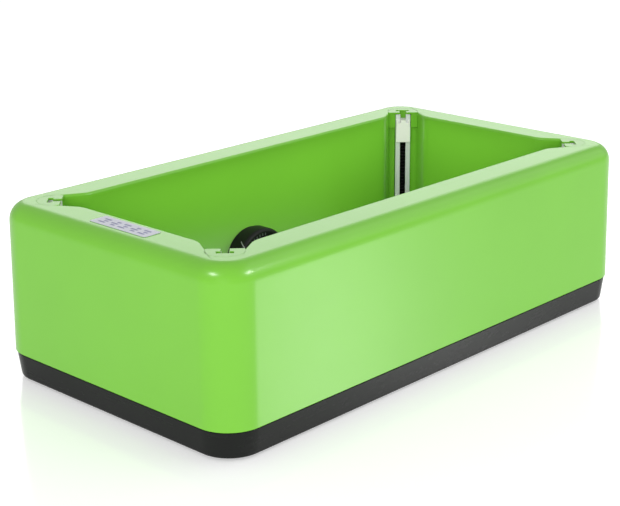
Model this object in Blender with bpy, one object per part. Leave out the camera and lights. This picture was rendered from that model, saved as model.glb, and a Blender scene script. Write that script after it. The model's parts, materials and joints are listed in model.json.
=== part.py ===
"""Shoe-cover dispenser: an open box that stands on the floor and takes a foot from above.

A green double-walled shell stands on a charcoal base tray. In each corner of the well an
aluminium rail holds a white slider, which a compression spring pushes up against a capped
T-slot. A black knob on the rear wall draws two L-shaped lock frames inwards, and their
fingers then reach over the four sliders to hold them down while the rails are loaded.

Origin: on the floor under the middle of the box. +X runs along the long side, +Y to the
wall with the knob, and +Z up.
"""

import math

import bmesh
import bpy
from mathutils import Vector

MM = 0.001

# Overall sizes
RIM_LENGTH = 420 * MM
RIM_WIDTH = 225 * MM
RIM_Z = 125 * MM
SEAM_Z = 20 * MM
FIT_GAP = 0.3 * MM

# Outer shell
OUTER_DRAFT = 0.0137
OUTER_CORNER_R = 25 * MM
RIM_FILLET = 12 * MM
OUTER_WALL = 3 * MM
INNER_WALL = 2.5 * MM
RIM_WALL = 3 * MM
RIM_ON_ENDS = 31.7 * MM
RIM_ON_SIDES = 32.8 * MM
WELL_DRAFT = 0.014
WELL_EDGE_R = 1.8 * MM
WELL_BOTTOM_Z = 5 * MM

# Corners. In a corner's own frame, "across" runs along the corner's diagonal face and
# "deep" runs out of the well, from the point where the two well walls would meet.
# A round alcove at the top takes the cap, and below its ledge a narrower channel takes
# the rail. The channel's outline is one half, from the well wall to the middle of its back.
ALCOVE_R = 12.6 * MM
ALCOVE_DEEP = 4.2 * MM
FLARE_ANGLE = math.radians(30)
FLARE_R = 18 * MM
FLARE_STEPS = 2
ALCOVE_STEPS = 10
LEDGE_Z = 111.7 * MM
CHANNEL_HALF = [(10.2, 3.0), (6.4, 4.0), (6.4, 8.0), (6.4, 12.5), (0.0, 12.5)]
CHANNEL_OUTSIDE_HALF = [(12.0, 5.2), (8.9, 6.6), (8.9, 11.0), (6.0, 15.0), (0.0, 15.0)]

# Base tray
BASE_BOTTOM_Z = 1.5 * MM
FLOOR_Z = 4.5 * MM
BASE_INSET_TOP = 0.4 * MM
BASE_TAPER = 2.0 * MM
BASE_FOOT_CHAMFER = 2.0 * MM
BASE_WALL = 2.5 * MM
LIP_HEIGHT = 3 * MM
LIP_WALL = 2 * MM

# Rails, plugs, sliders and springs
RAIL_HALF = 6.1 * MM
RAIL_FRONT = 0.3 * MM
RAIL_BACK = 12 * MM
RAIL_FLANGE = 1.5 * MM
RAIL_WEB = 1.4 * MM
RAIL_SIDE = 0.7 * MM
RAIL_SLOT_HALF = 2.3 * MM
LINER_SHEET = 0.8 * MM
RAIL_BOTTOM_Z = 4.8 * MM
RAIL_TOP_Z = 123.2 * MM
LINER_FRONT = RAIL_BACK - RAIL_WEB - FIT_GAP - LINER_SHEET
PLUG_HEIGHT = 2.5 * MM
PLUG_TOP_Z = RAIL_BOTTOM_Z + 0.1 * MM + PLUG_HEIGHT
SLIDER_TOP_Z = 118.5 * MM
SLIDER_HEIGHT = 18.5 * MM
SLIDER_TRAVEL = 73 * MM
SLIDER_PLATE = 2.2 * MM
SPRING_R = 3.0 * MM
SPRING_WIRE_R = 0.35 * MM
SPRING_TURNS = 24
SPRING_SIDES = 8

# Corner caps
CAP_HEIGHT = 13 * MM
CAP_PLATE = 1.5 * MM
SLOT_MOUTH_HALF = 2.6 * MM
SLOT_BAR_HALF = 5.4 * MM
SLOT_BAR_FROM = 6.0 * MM
SLOT_BAR_TO = 9.2 * MM
STOP_LUG_ACROSS = (3.1 * MM, 4.5 * MM)
STOP_LUG_DEEP = (2.1 * MM, 4.3 * MM)

# Lock knob, its shaft and the crank that moves the two frames
KNOB_X = -5.4 * MM
KNOB_Z = 43 * MM
KNOB_R = 25.6 * MM
KNOB_DEPTH = 12.2 * MM
KNOB_FACE_DISH = 1.2 * MM
KNOB_GRIP_HALF = 4 * MM
BEZEL_R = 24.4 * MM
BEZEL_DEPTH = 3 * MM
BUSH_R = 6 * MM
NUT_R = 10 * MM
NUT_DEPTH = 3 * MM
SHAFT_R = 3 * MM
CLIP_R = 6 * MM
CRANK_THROW = 7.5 * MM
CRANK_HALF_WIDTH = 4.5 * MM
CRANK_DEPTH = 3 * MM
CRANK_PIN_R = 2 * MM
CRANK_PIN_REACH = 4.5 * MM
KNOB_TURN = math.radians(55)

# Places along the knob's axis, from the wall's face there and growing out of the well
KNOB_WALL_Y = RIM_WIDTH / 2 - RIM_ON_SIDES - WELL_DRAFT * (RIM_Z - KNOB_Z)
BEZEL_BACK = -0.7 * MM
KNOB_BACK = BEZEL_BACK - BEZEL_DEPTH - FIT_GAP
KNOB_BORE_DEPTH = 9 * MM
BUSH_END = INNER_WALL + 6 * MM
CRANK_FRONT = 16.5 * MM

# Lock frames
FRAME_Z = 46 * MM
FRAME_SHEET = 2 * MM
FRAME_REAR_Y = (99 * MM, 105 * MM)
FRAME_END_X = (200.5 * MM, 206.5 * MM)
FRAME_CORNER_CUT = 12.5 * MM
FRAME_FRONT_Y = -96 * MM
FINGER_SIDE = (5.4 * MM, 8.4 * MM)
LUG_SHEET = 3 * MM
LUG_HALF = 5.5 * MM
LUG_SLOT_HALF = 2.3 * MM

# Screws and feet
SCREW_PLACES = {
    "front_left": (-110 * MM, -105.5 * MM),
    "front_right": (110 * MM, -105.5 * MM),
    "rear_left": (-110 * MM, 105.5 * MM),
    "rear_right": (110 * MM, 105.5 * MM),
    "left": (-203 * MM, 0.0),
    "right": (203 * MM, 0.0),
}
SHELL_BOSS_R = 6 * MM
SHELL_BOSS_Z = (23.4 * MM, 42 * MM)
BASE_BOSS_R = 4.5 * MM
BASE_BOSS_TOP_Z = 22.6 * MM
SCREW_SHANK_R = 1.75 * MM
SCREW_HEAD_R = 3.4 * MM
SCREW_HEAD_TOP_Z = 3.2 * MM
SCREW_TOP_Z = 34 * MM
FOOT_R = 9 * MM
FOOT_TOP_Z = 2.6 * MM
FOOT_X = 175 * MM
FOOT_Y = 82 * MM

# Label on the end rim
LABEL_LENGTH = 54 * MM
LABEL_WIDTH = 14 * MM
LABEL_SHEET = 0.25 * MM
LABEL_LIFT = 0.1 * MM
LABEL_FROM_WELL = 11.5 * MM

CORNERS = {
    "front_left": (-1, -1),
    "front_right": (1, -1),
    "rear_left": (-1, 1),
    "rear_right": (1, 1),
}
CORNER_X = RIM_LENGTH / 2 - RIM_ON_ENDS
CORNER_Y = RIM_WIDTH / 2 - RIM_ON_SIDES


# ---------------------------------------------------------------- materials and objects


def make_material(name, colour, roughness, metallic=0.0):
    material = bpy.data.materials.new(name)
    material.use_nodes = True
    shader = material.node_tree.nodes["Principled BSDF"]
    shader.inputs["Base Color"].default_value = (*colour, 1.0)
    shader.inputs["Roughness"].default_value = roughness
    shader.inputs["Metallic"].default_value = metallic
    material.diffuse_color = (*colour, 1.0)
    return material


def make_mesh(name, bm, material=None, smooth_angle=math.radians(35)):
    """Turns a bmesh into a mesh with outward faces and smooth round stretches."""
    bmesh.ops.recalc_face_normals(bm, faces=bm.faces)
    mesh = bpy.data.meshes.new(name)
    bm.to_mesh(mesh)
    bm.free()
    mesh.shade_smooth()
    mesh.set_sharp_from_angle(angle=smooth_angle)
    if material:
        mesh.materials.append(material)
    return mesh


def place(name, mesh, parent=None, location=(0.0, 0.0, 0.0)):
    obj = bpy.data.objects.new(name, mesh)
    bpy.context.scene.collection.objects.link(obj)
    obj.parent = parent
    obj.location = location
    return obj


def add_object(name, bm, material=None, parent=None):
    return place(name, make_mesh(name, bm, material), parent)


def add_corner_frames():
    """One empty at each corner of the well, with its +Y axis pointing out of the well."""
    frames = {}
    for corner, (sx, sy) in CORNERS.items():
        empty = place(f"corner_frame_{corner}", None, None, (sx * CORNER_X, sy * CORNER_Y, 0.0))
        empty.rotation_euler.z = math.atan2(sy, sx) - math.pi / 2
        frames[corner] = empty
    return frames


def add_boolean(target, tool, operation):
    """Cuts tool from target, or joins it on. The tool itself is a guide, not a piece."""
    tool.hide_render = True
    tool.display_type = "WIRE"
    modifier = target.modifiers.new(f"{operation.lower()}_{tool.name}", "BOOLEAN")
    modifier.operation = operation
    modifier.solver = "EXACT"
    modifier.object = tool


# ---------------------------------------------------------------- shape building blocks


def loft(rings, close_ends=True, loop=False):
    """A solid skinned over rings of equally many points."""
    bm = bmesh.new()
    loops = [[bm.verts.new(point) for point in ring] for ring in rings]
    pairs = list(zip(loops, loops[1:]))
    if loop:
        pairs.append((loops[-1], loops[0]))
    for lower, upper in pairs:
        for i, vert in enumerate(lower):
            j = (i + 1) % len(lower)
            bm.faces.new((vert, lower[j], upper[j], upper[i]))
    if close_ends and not loop:
        bm.faces.new(loops[0])
        bm.faces.new(loops[-1])
    return bm


def prism(outline, low, high, place=lambda a, b, c: (a, b, c)):
    """A 2-D outline extruded from low to high. place maps (a, b, height) to a point."""
    return loft([[place(a, b, level) for a, b in outline] for level in (low, high)])


def box(low, high):
    outline = [(low[0], low[1]), (high[0], low[1]), (high[0], high[1]), (low[0], high[1])]
    return prism(outline, low[2], high[2])


def circle(radius, steps, centre=(0.0, 0.0), phase=0.0):
    angles = [phase + 2 * math.pi * i / steps for i in range(steps)]
    return [
        (centre[0] + radius * math.cos(a), centre[1] + radius * math.sin(a)) for a in angles
    ]


def post(x, y, radius, low, high, steps=16):
    return prism(circle(radius, steps, (x, y)), low, high)


def along_y(a, b, c):
    return (a, c, b)


def turned(profile, steps):
    """A solid turned about the Y axis from (radius, y) points.

    A profile that begins and ends on the axis is closed by its two poles; any other
    profile is a ring and is closed on itself."""
    bm = bmesh.new()
    loops = []
    for radius, y in profile:
        if radius == 0:
            loops.append([bm.verts.new((0, y, 0))])
        else:
            loops.append([bm.verts.new((x, y, z)) for x, z in circle(radius, steps)])
    pairs = list(zip(loops, loops[1:]))
    if profile[0][0] != 0:
        pairs.append((loops[-1], loops[0]))
    for one, two in pairs:
        for i in range(steps):
            j = (i + 1) % steps
            if len(one) == 1:
                bm.faces.new((one[0], two[j], two[i]))
            elif len(two) == 1:
                bm.faces.new((one[i], one[j], two[0]))
            else:
                bm.faces.new((one[i], one[j], two[j], two[i]))
    return bm


def merged(parts):
    """Several separate solids in one bmesh, such as a set of screws."""
    result = bmesh.new()
    for part in parts:
        mesh = bpy.data.meshes.new("merged_piece")
        part.to_mesh(mesh)
        part.free()
        result.from_mesh(mesh)
        bpy.data.meshes.remove(mesh)
    return result


# ---------------------------------------------------------------- plan outlines


def corner_point(across, deep, z, sx, sy):
    """A corner's own (across, deep, z) as a point of the whole box.

    across grows from the end wall's side towards the long wall's side."""
    half = math.sqrt(0.5)
    x = CORNER_X + (deep - across) * half
    y = CORNER_Y + (deep + across) * half
    return (sx * x, sy * y, z)


def mirrored_ring(end_middle, corner, side_middle, z):
    """A closed ring from the outline of its (+X, +Y) quarter.

    The two middles are the points where the quarter meets the X and Y axes."""
    first = [end_middle, *corner]
    second = [side_middle, *[(-x, y) for x, y in reversed(corner)]]
    half = first + second
    return [(x, y, z) for x, y in half + [(-x, -y) for x, y in half]]


def flare(wall_at, grow):
    """The end wall's turn into a corner, as points up to the flare's straight stretch.

    wall_at is the wall's distance from the middle, and grow moves the whole outline out
    of the well. Swapped (y, x) inputs and outputs give the long wall's flare."""
    slope = Vector((math.sin(FLARE_ANGLE), math.cos(FLARE_ANGLE)))
    outward = Vector((slope.y, -slope.x))
    edge_across = math.sqrt(ALCOVE_R**2 - ALCOVE_DEEP**2)
    half = math.sqrt(0.5)
    edge = Vector((CORNER_X + edge_across * half, CORNER_Y - edge_across * half))
    edge += outward * grow
    radius = FLARE_R - grow
    bend_y = edge.y - (edge.x - wall_at) / math.tan(FLARE_ANGLE)
    tangent = radius * math.tan(FLARE_ANGLE / 2)
    centre = Vector((wall_at + radius, bend_y - tangent))
    angles = [FLARE_ANGLE * i / FLARE_STEPS for i in range(FLARE_STEPS + 1)]
    points = [
        centre + radius * Vector((-math.cos(a), math.sin(a))) for a in angles
    ]
    return points, edge, slope


def alcove_corner(end_wall, side_wall, grow, alcove_grow, channel=None):
    """The (+X, +Y) quarter of a well outline, without its two middles.

    With a channel, its outline stands in for the alcove's arc, point for point."""
    half = math.sqrt(0.5)
    centre = Vector((CORNER_X, CORNER_Y)) + Vector((half, half)) * ALCOVE_DEEP
    radius = ALCOVE_R + alcove_grow
    end_points, edge, slope = flare(end_wall, grow)
    reach = (edge - centre).dot(slope)
    apart = (edge - centre).length_squared - radius**2
    meet = edge + slope * (-reach - math.sqrt(max(reach**2 - apart, 0.0)))
    start = math.atan2(meet.y - centre.y, meet.x - centre.x)
    sweep = 2 * (math.pi / 4 - start)
    arc = [
        centre + radius * Vector((math.cos(a), math.sin(a)))
        for a in (start + sweep * i / ALCOVE_STEPS for i in range(ALCOVE_STEPS + 1))
    ]
    if channel:
        other_half = [(-across, deep) for across, deep in reversed(channel[:-1])]
        for i, (across, deep) in enumerate(channel + other_half):
            x, y, _ = corner_point(-across * MM, deep * MM, 0.0, 1, 1)
            arc[i + 1] = Vector((x, y))
    # The long wall's flare is the end wall's, mirrored in the corner's diagonal.
    shift = CORNER_Y - CORNER_X
    side_points, _, _ = flare(side_wall - shift, grow)
    side_points = [Vector((p.y - shift, p.x + shift)) for p in reversed(side_points)]
    return [tuple(p) for p in [*end_points, *arc, *side_points]]


def well_ring(z, grow=0.0, alcove_grow=None, channel=None):
    """The well's outline at a height, moved out of the well by grow."""
    drop = WELL_DRAFT * (RIM_Z - z)
    end_wall = CORNER_X - drop + grow
    side_wall = CORNER_Y - drop + grow
    corner = alcove_corner(
        end_wall, side_wall, grow, grow if alcove_grow is None else alcove_grow, channel
    )
    return mirrored_ring((end_wall, 0.0), corner, (0.0, side_wall), z)


def outer_ring(z, inset=0.0):
    """The shell's outer outline at a height, point for point beside the well's."""
    grow = OUTER_DRAFT * (RIM_Z - z) - inset
    half_x = RIM_LENGTH / 2 + grow
    half_y = RIM_WIDTH / 2 + grow
    radius = OUTER_CORNER_R + min(grow, 0.0)
    cx, cy = half_x - radius, half_y - radius
    steps_back = [(FLARE_STEPS + 1 - i) * 6 * MM for i in range(FLARE_STEPS + 1)]
    corner = [(half_x, cy - back) for back in steps_back]
    for i in range(ALCOVE_STEPS + 1):
        angle = math.pi / 2 * i / ALCOVE_STEPS
        corner.append((cx + radius * math.cos(angle), cy + radius * math.sin(angle)))
    corner += [(cx - back, half_y) for back in reversed(steps_back)]
    return mirrored_ring((half_x, 0.0), corner, (0.0, half_y), z)


def plain_ring(z, grow):
    """A rounded rectangle for the base tray, grown from the rim's plan size."""
    half_x = RIM_LENGTH / 2 + grow
    half_y = RIM_WIDTH / 2 + grow
    radius = OUTER_CORNER_R + grow
    cx, cy = half_x - radius, half_y - radius
    ring = []
    for quarter, (sx, sy) in enumerate([(1, 1), (-1, 1), (-1, -1), (1, -1)]):
        for i in range(9):
            angle = math.pi / 2 * (quarter + i / 8)
            ring.append(
                (sx * cx + radius * math.cos(angle), sy * cy + radius * math.sin(angle), z)
            )
    return ring


# ---------------------------------------------------------------- shell and base


def build_shell(material):
    """The green moulding: outer wall, rounded rim, well walls and the cavity between."""
    rings = [outer_ring(SEAM_Z), outer_ring(RIM_Z - RIM_FILLET)]
    for i in range(1, 5):
        angle = math.pi / 2 * i / 4
        rings.append(
            outer_ring(
                RIM_Z - RIM_FILLET * (1 - math.sin(angle)),
                inset=RIM_FILLET * (1 - math.cos(angle)),
            )
        )
    for i in range(3):
        angle = math.pi / 2 * (1 - i / 2)
        rings.append(
            well_ring(
                RIM_Z - WELL_EDGE_R * (1 - math.sin(angle)),
                grow=WELL_EDGE_R * (1 - math.cos(angle)),
                alcove_grow=0.0,
            )
        )
    rings.append(well_ring(LEDGE_Z))
    rings.append(well_ring(LEDGE_Z, channel=CHANNEL_HALF))
    rings.append(well_ring(WELL_BOTTOM_Z, channel=CHANNEL_HALF))
    rings.append(well_ring(WELL_BOTTOM_Z, grow=INNER_WALL, channel=CHANNEL_OUTSIDE_HALF))
    under_ledge = LEDGE_Z - INNER_WALL
    rings.append(well_ring(under_ledge, grow=INNER_WALL, channel=CHANNEL_OUTSIDE_HALF))
    rings.append(well_ring(under_ledge, grow=INNER_WALL))
    rings.append(well_ring(RIM_Z - RIM_WALL, grow=INNER_WALL))
    rings.append(outer_ring(RIM_Z - RIM_WALL, inset=RIM_FILLET))
    rings.append(outer_ring(RIM_Z - RIM_FILLET, inset=OUTER_WALL))
    rings.append(outer_ring(SEAM_Z, inset=OUTER_WALL))
    shell = add_object("outer_shell", loft(rings, loop=True), material)

    bosses = [post(x, y, SHELL_BOSS_R, *SHELL_BOSS_Z) for x, y in SCREW_PLACES.values()]
    add_boolean(shell, add_object("shell_boss_tool", merged(bosses)), "UNION")
    cuts = [
        post(x, y, SCREW_SHANK_R + FIT_GAP, 0.0, SCREW_TOP_Z + MM, steps=12)
        for x, y in SCREW_PLACES.values()
    ]
    cuts.append(
        prism(
            circle(BUSH_R + FIT_GAP, 20, (KNOB_X, KNOB_Z)),
            CORNER_Y - 6 * MM,
            CORNER_Y + 6 * MM,
            along_y,
        )
    )
    finger_gap = 0.8 * MM
    for sx, sy in CORNERS.values():
        low_y, high_y = sorted(
            sy * (CORNER_Y + side + spread)
            for side, spread in zip(FINGER_SIDE, (-finger_gap, finger_gap))
        )
        low_x, high_x = sorted((sx * 186 * MM, sx * 199 * MM))
        cuts.append(
            box(
                (low_x, low_y, FRAME_Z - finger_gap),
                (high_x, high_y, FRAME_Z + FRAME_SHEET + finger_gap),
            )
        )
    add_boolean(shell, add_object("shell_cut_tool", merged(cuts)), "DIFFERENCE")


def guide_block(low_x, high_x, low_y, high_y):
    return box(
        (low_x, low_y, FLOOR_Z - MM), (high_x, high_y, FRAME_Z + FRAME_SHEET + 4 * MM)
    )


def build_base(material):
    """The charcoal tray, with screw bosses and the guides that the lock frames run in."""
    top_grow = OUTER_DRAFT * (RIM_Z - SEAM_Z) - BASE_INSET_TOP
    rim_top = SEAM_Z - FIT_GAP
    lip_grow = top_grow + BASE_INSET_TOP - OUTER_WALL - FIT_GAP
    rings = [
        plain_ring(BASE_BOTTOM_Z, top_grow - BASE_TAPER - BASE_FOOT_CHAMFER),
        plain_ring(BASE_BOTTOM_Z + BASE_FOOT_CHAMFER, top_grow - BASE_TAPER),
        plain_ring(rim_top, top_grow),
        plain_ring(rim_top, lip_grow),
        plain_ring(SEAM_Z + LIP_HEIGHT, lip_grow),
        plain_ring(SEAM_Z + LIP_HEIGHT, lip_grow - LIP_WALL),
        plain_ring(FLOOR_Z, lip_grow - LIP_WALL),
    ]
    base = add_object("base_tray", loft(rings), material)

    screws = SCREW_PLACES.values()
    solids = [post(x, y, BASE_BOSS_R, FLOOR_Z - MM, BASE_BOSS_TOP_Z) for x, y in screws]
    rear_low, rear_high = FRAME_REAR_Y[0] - 4 * MM, FRAME_REAR_Y[1] + 2 * MM
    end_low, end_high = FRAME_END_X[0] - 11 * MM, FRAME_END_X[1] + 0.3 * MM
    for sx in (-1, 1):
        for middle in (62 * MM, 150 * MM):
            solids.append(
                guide_block(sx * middle - 4 * MM, sx * middle + 4 * MM, rear_low, rear_high)
            )
        low, high = sorted((sx * end_low, sx * end_high))
        for middle in (-52 * MM, 52 * MM):
            solids.append(guide_block(low, high, middle - 4 * MM, middle + 4 * MM))
    add_boolean(base, add_object("base_boss_tool", merged(solids)), "UNION")

    slot_z = (FRAME_Z - 0.4 * MM, FRAME_Z + FRAME_SHEET + 0.4 * MM)
    shank_r, head_r = SCREW_SHANK_R + FIT_GAP, SCREW_HEAD_R + FIT_GAP
    cuts = [post(x, y, shank_r, 0.0, BASE_BOSS_TOP_Z + MM, 12) for x, y in screws]
    heads = [post(x, y, head_r, 0.0, SCREW_HEAD_TOP_Z + FIT_GAP) for x, y in screws]
    for sx in (-1, 1):
        low, high = sorted((sx * 50 * MM, sx * 160 * MM))
        cuts.append(
            box((low, FRAME_REAR_Y[0] - 0.5 * MM, slot_z[0]), (high, 109 * MM, slot_z[1]))
        )
        low, high = sorted((sx * (FRAME_END_X[0] - 7.5 * MM), sx * 208 * MM))
        cuts.append(box((low, -60 * MM, slot_z[0]), (high, 60 * MM, slot_z[1])))
    cuts += [
        post(sx * FOOT_X, sy * FOOT_Y, FOOT_R + FIT_GAP, 0.0, FOOT_TOP_Z + FIT_GAP, 24)
        for sx, sy in CORNERS.values()
    ]
    add_boolean(base, add_object("base_cut_tool", merged(cuts)), "DIFFERENCE")
    add_boolean(base, add_object("screw_head_tool", merged(heads)), "DIFFERENCE")


def build_feet(material):
    profile = ((FOOT_R - 0.8 * MM, 0.0), (FOOT_R, 0.8 * MM), (FOOT_R, FOOT_TOP_Z))
    rings = [[(a, b, z) for a, b in circle(radius, 24)] for radius, z in profile]
    mesh = make_mesh("foot", loft(rings), material)
    for corner, (sx, sy) in CORNERS.items():
        place(f"foot_{corner}", mesh, None, (sx * FOOT_X, sy * FOOT_Y, 0.0))


def build_base_screws(material):
    profile = (
        (SCREW_HEAD_R, 0.0),
        (SCREW_HEAD_R, SCREW_HEAD_TOP_Z - BASE_BOTTOM_Z),
        (SCREW_SHANK_R, SCREW_HEAD_TOP_Z - BASE_BOTTOM_Z),
        (SCREW_SHANK_R, SCREW_TOP_Z - BASE_BOTTOM_Z - 2 * MM),
        (SCREW_SHANK_R / 2, SCREW_TOP_Z - BASE_BOTTOM_Z),
    )
    rings = [[(a, b, z) for a, b in circle(radius, 12)] for radius, z in profile]
    mesh = make_mesh("base_screw", loft(rings), material)
    for name, (x, y) in SCREW_PLACES.items():
        place(f"base_screw_{name}", mesh, None, (x, y, BASE_BOTTOM_Z))


def build_label(material):
    low = (-LABEL_WIDTH / 2, -LABEL_LENGTH / 2, 0.0)
    high = (LABEL_WIDTH / 2, LABEL_LENGTH / 2, LABEL_SHEET)
    mesh = make_mesh("instruction_label", box(low, high), material)
    location = (-(CORNER_X + LABEL_FROM_WELL), 0.0, RIM_Z + LABEL_LIFT)
    place("instruction_label", mesh, None, location)


# ---------------------------------------------------------------- corner pieces


def rectangle(half_across, front, back):
    return [
        (-half_across, front),
        (half_across, front),
        (half_across, back),
        (-half_across, back),
    ]


def build_rail(corner, frame, hand, material):
    """A C-section extrusion with its slot facing the well and a finger window behind."""
    front, back = RAIL_FRONT, RAIL_BACK
    inner_half = RAIL_HALF - RAIL_SIDE
    lip_back = front + RAIL_FLANGE
    outline = [
        (-RAIL_SLOT_HALF, front),
        (-RAIL_SLOT_HALF, lip_back),
        (-inner_half, lip_back),
        (-inner_half, back - RAIL_WEB),
        (inner_half, back - RAIL_WEB),
        (inner_half, lip_back),
        (RAIL_SLOT_HALF, lip_back),
        (RAIL_SLOT_HALF, front),
        (RAIL_HALF, front),
        (RAIL_HALF, back),
        (-RAIL_HALF, back),
        (-RAIL_HALF, front),
    ]
    rail = add_object(
        f"rail_{corner}", prism(outline, RAIL_BOTTOM_Z, RAIL_TOP_Z), material, frame
    )
    add_boolean(rail, finger_window(f"rail_{corner}", frame, hand, RAIL_WEB), "DIFFERENCE")


def finger_window(name, frame, hand, wall):
    """A cutter for the lock finger's window, through the wall at the back of a rail.

    The finger comes in along the box's X axis, so it crosses the rail at 45 degrees."""
    middle = RAIL_BACK - wall / 2
    spread = 1.1 * MM
    edges = [middle - math.sqrt(2) * side for side in FINGER_SIDE]
    low, high = sorted((hand * (edges[0] + spread), hand * (edges[1] - spread)))
    window = box(
        (low, RAIL_BACK - wall - MM, FRAME_Z - 0.7 * MM),
        (high, RAIL_BACK + MM, FRAME_Z + FRAME_SHEET + 0.7 * MM),
    )
    return add_object(f"{name}_window_tool", window, None, frame)


def build_rail_liner(corner, frame, hand, material):
    """A thin black strip down the back of the rail, which the slider runs against."""
    outline = rectangle(RAIL_HALF - RAIL_SIDE - FIT_GAP, LINER_FRONT, LINER_FRONT + LINER_SHEET)
    strip = prism(outline, RAIL_BOTTOM_Z + 0.1 * MM, RAIL_TOP_Z)
    liner = add_object(f"rail_liner_{corner}", strip, material, frame)
    tool = finger_window(f"rail_liner_{corner}", frame, hand, 2 * (RAIL_BACK - LINER_FRONT))
    add_boolean(liner, tool, "DIFFERENCE")


def rail_plug_mesh(material):
    """The plug in a rail's lower end, which the spring stands on."""
    outline = rectangle(
        RAIL_HALF - RAIL_SIDE - FIT_GAP,
        RAIL_FRONT + RAIL_FLANGE + FIT_GAP,
        LINER_FRONT - FIT_GAP,
    )
    return make_mesh("rail_plug", prism(outline, 0.0, PLUG_HEIGHT), material)


def slider_mesh(material):
    """The follower: a plate before the rail, a neck in the slot and a body inside."""
    plate_half, neck_half = RAIL_HALF - 0.2 * MM, RAIL_SLOT_HALF - FIT_GAP
    body_half = RAIL_HALF - RAIL_SIDE - FIT_GAP
    plate_back = RAIL_FRONT - FIT_GAP
    body_front = RAIL_FRONT + RAIL_FLANGE + FIT_GAP
    body_back = LINER_FRONT - FIT_GAP
    edge = 0.8 * MM
    outline = [
        (-plate_half + edge, -SLIDER_PLATE),
        (plate_half - edge, -SLIDER_PLATE),
        (plate_half, -SLIDER_PLATE + edge),
        (plate_half, plate_back),
        (neck_half, plate_back),
        (neck_half, body_front),
        (body_half, body_front),
        (body_half, body_back),
        (-body_half, body_back),
        (-body_half, body_front),
        (-neck_half, body_front),
        (-neck_half, plate_back),
        (-plate_half, plate_back),
        (-plate_half, -SLIDER_PLATE + edge),
    ]
    return make_mesh("slider", prism(outline, -SLIDER_HEIGHT, 0.0), material)


def spring_mesh(material):
    """A compression spring that fills the rail from its plug up to the slider."""
    middle = (RAIL_FRONT + RAIL_FLANGE + LINER_FRONT) / 2
    low = FIT_GAP + SPRING_WIRE_R
    high = SLIDER_TOP_Z - SLIDER_HEIGHT - PLUG_TOP_Z - FIT_GAP - SPRING_WIRE_R
    steps = SPRING_SIDES * SPRING_TURNS
    rings = []
    for i in range(steps + 1):
        angle = 2 * math.pi * i / SPRING_SIDES
        z = low + (high - low) * i / steps
        ring = []
        for k in range(4):
            turn = math.pi / 2 * k
            radius = SPRING_R + SPRING_WIRE_R * math.cos(turn)
            ring.append(
                (
                    radius * math.cos(angle),
                    middle + radius * math.sin(angle),
                    z + SPRING_WIRE_R * math.sin(turn),
                )
            )
        rings.append(ring)
    return make_mesh("spring", loft(rings), material)


def build_cap(corner, frame, material):
    """The round plug over a rail, cut by the T-slot that the shoe covers' clips go in."""
    radius = ALCOVE_R - FIT_GAP
    half_chord = math.sqrt(radius**2 - ALCOVE_DEEP**2)
    start = math.atan2(-ALCOVE_DEEP, half_chord)
    sweep = math.pi - 2 * start
    steps = 20
    outline = [
        (
            radius * math.cos(start + sweep * i / steps),
            ALCOVE_DEEP + radius * math.sin(start + sweep * i / steps),
        )
        for i in range(steps + 1)
    ]
    cap = add_object(
        f"cap_{corner}", prism(outline, RIM_Z - CAP_HEIGHT, RIM_Z), material, frame
    )
    socket = rectangle(RAIL_HALF + FIT_GAP, -2 * MM, RAIL_BACK + FIT_GAP)
    mouth = [
        (-SLOT_MOUTH_HALF, -2 * MM),
        (SLOT_MOUTH_HALF, -2 * MM),
        (SLOT_MOUTH_HALF, SLOT_BAR_FROM),
        (SLOT_BAR_HALF, SLOT_BAR_FROM),
        (SLOT_BAR_HALF, SLOT_BAR_TO),
        (-SLOT_BAR_HALF, SLOT_BAR_TO),
        (-SLOT_BAR_HALF, SLOT_BAR_FROM),
        (-SLOT_MOUTH_HALF, SLOT_BAR_FROM),
    ]
    for name, shape, low, high in (
        ("socket", socket, RIM_Z - CAP_HEIGHT - MM, RIM_Z - CAP_PLATE),
        ("mouth", mouth, RIM_Z - CAP_PLATE - MM, RIM_Z + MM),
    ):
        tool = add_object(f"cap_{name}_tool_{corner}", prism(shape, low, high), None, frame)
        add_boolean(cap, tool, "DIFFERENCE")
    # Two lugs hang inside the rail, in front of the T-slot's bar, and stop the slider.
    lugs = []
    for side in (-1, 1):
        low, high = sorted(side * across for across in STOP_LUG_ACROSS)
        lugs.append(
            box(
                (low, STOP_LUG_DEEP[0], SLIDER_TOP_Z + FIT_GAP),
                (high, STOP_LUG_DEEP[1], RIM_Z - CAP_PLATE / 2),
            )
        )
    tool = add_object(f"cap_stop_tool_{corner}", merged(lugs), None, frame)
    add_boolean(cap, tool, "UNION")


def build_corners(green, aluminium, white, black, spring_steel):
    plug, slider, spring = (
        rail_plug_mesh(black),
        slider_mesh(white),
        spring_mesh(spring_steel),
    )
    for corner, frame in add_corner_frames().items():
        sx, sy = CORNERS[corner]
        build_rail(corner, frame, sx * sy, aluminium)
        build_rail_liner(corner, frame, sx * sy, black)
        place(f"rail_plug_{corner}", plug, frame, (0.0, 0.0, PLUG_TOP_Z - PLUG_HEIGHT))
        place(f"slider_{corner}", slider, frame, (0.0, 0.0, SLIDER_TOP_Z))
        place(f"spring_{corner}", spring, frame, (0.0, 0.0, PLUG_TOP_Z))
        build_cap(corner, frame, green)


# ---------------------------------------------------------------- lock


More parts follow.
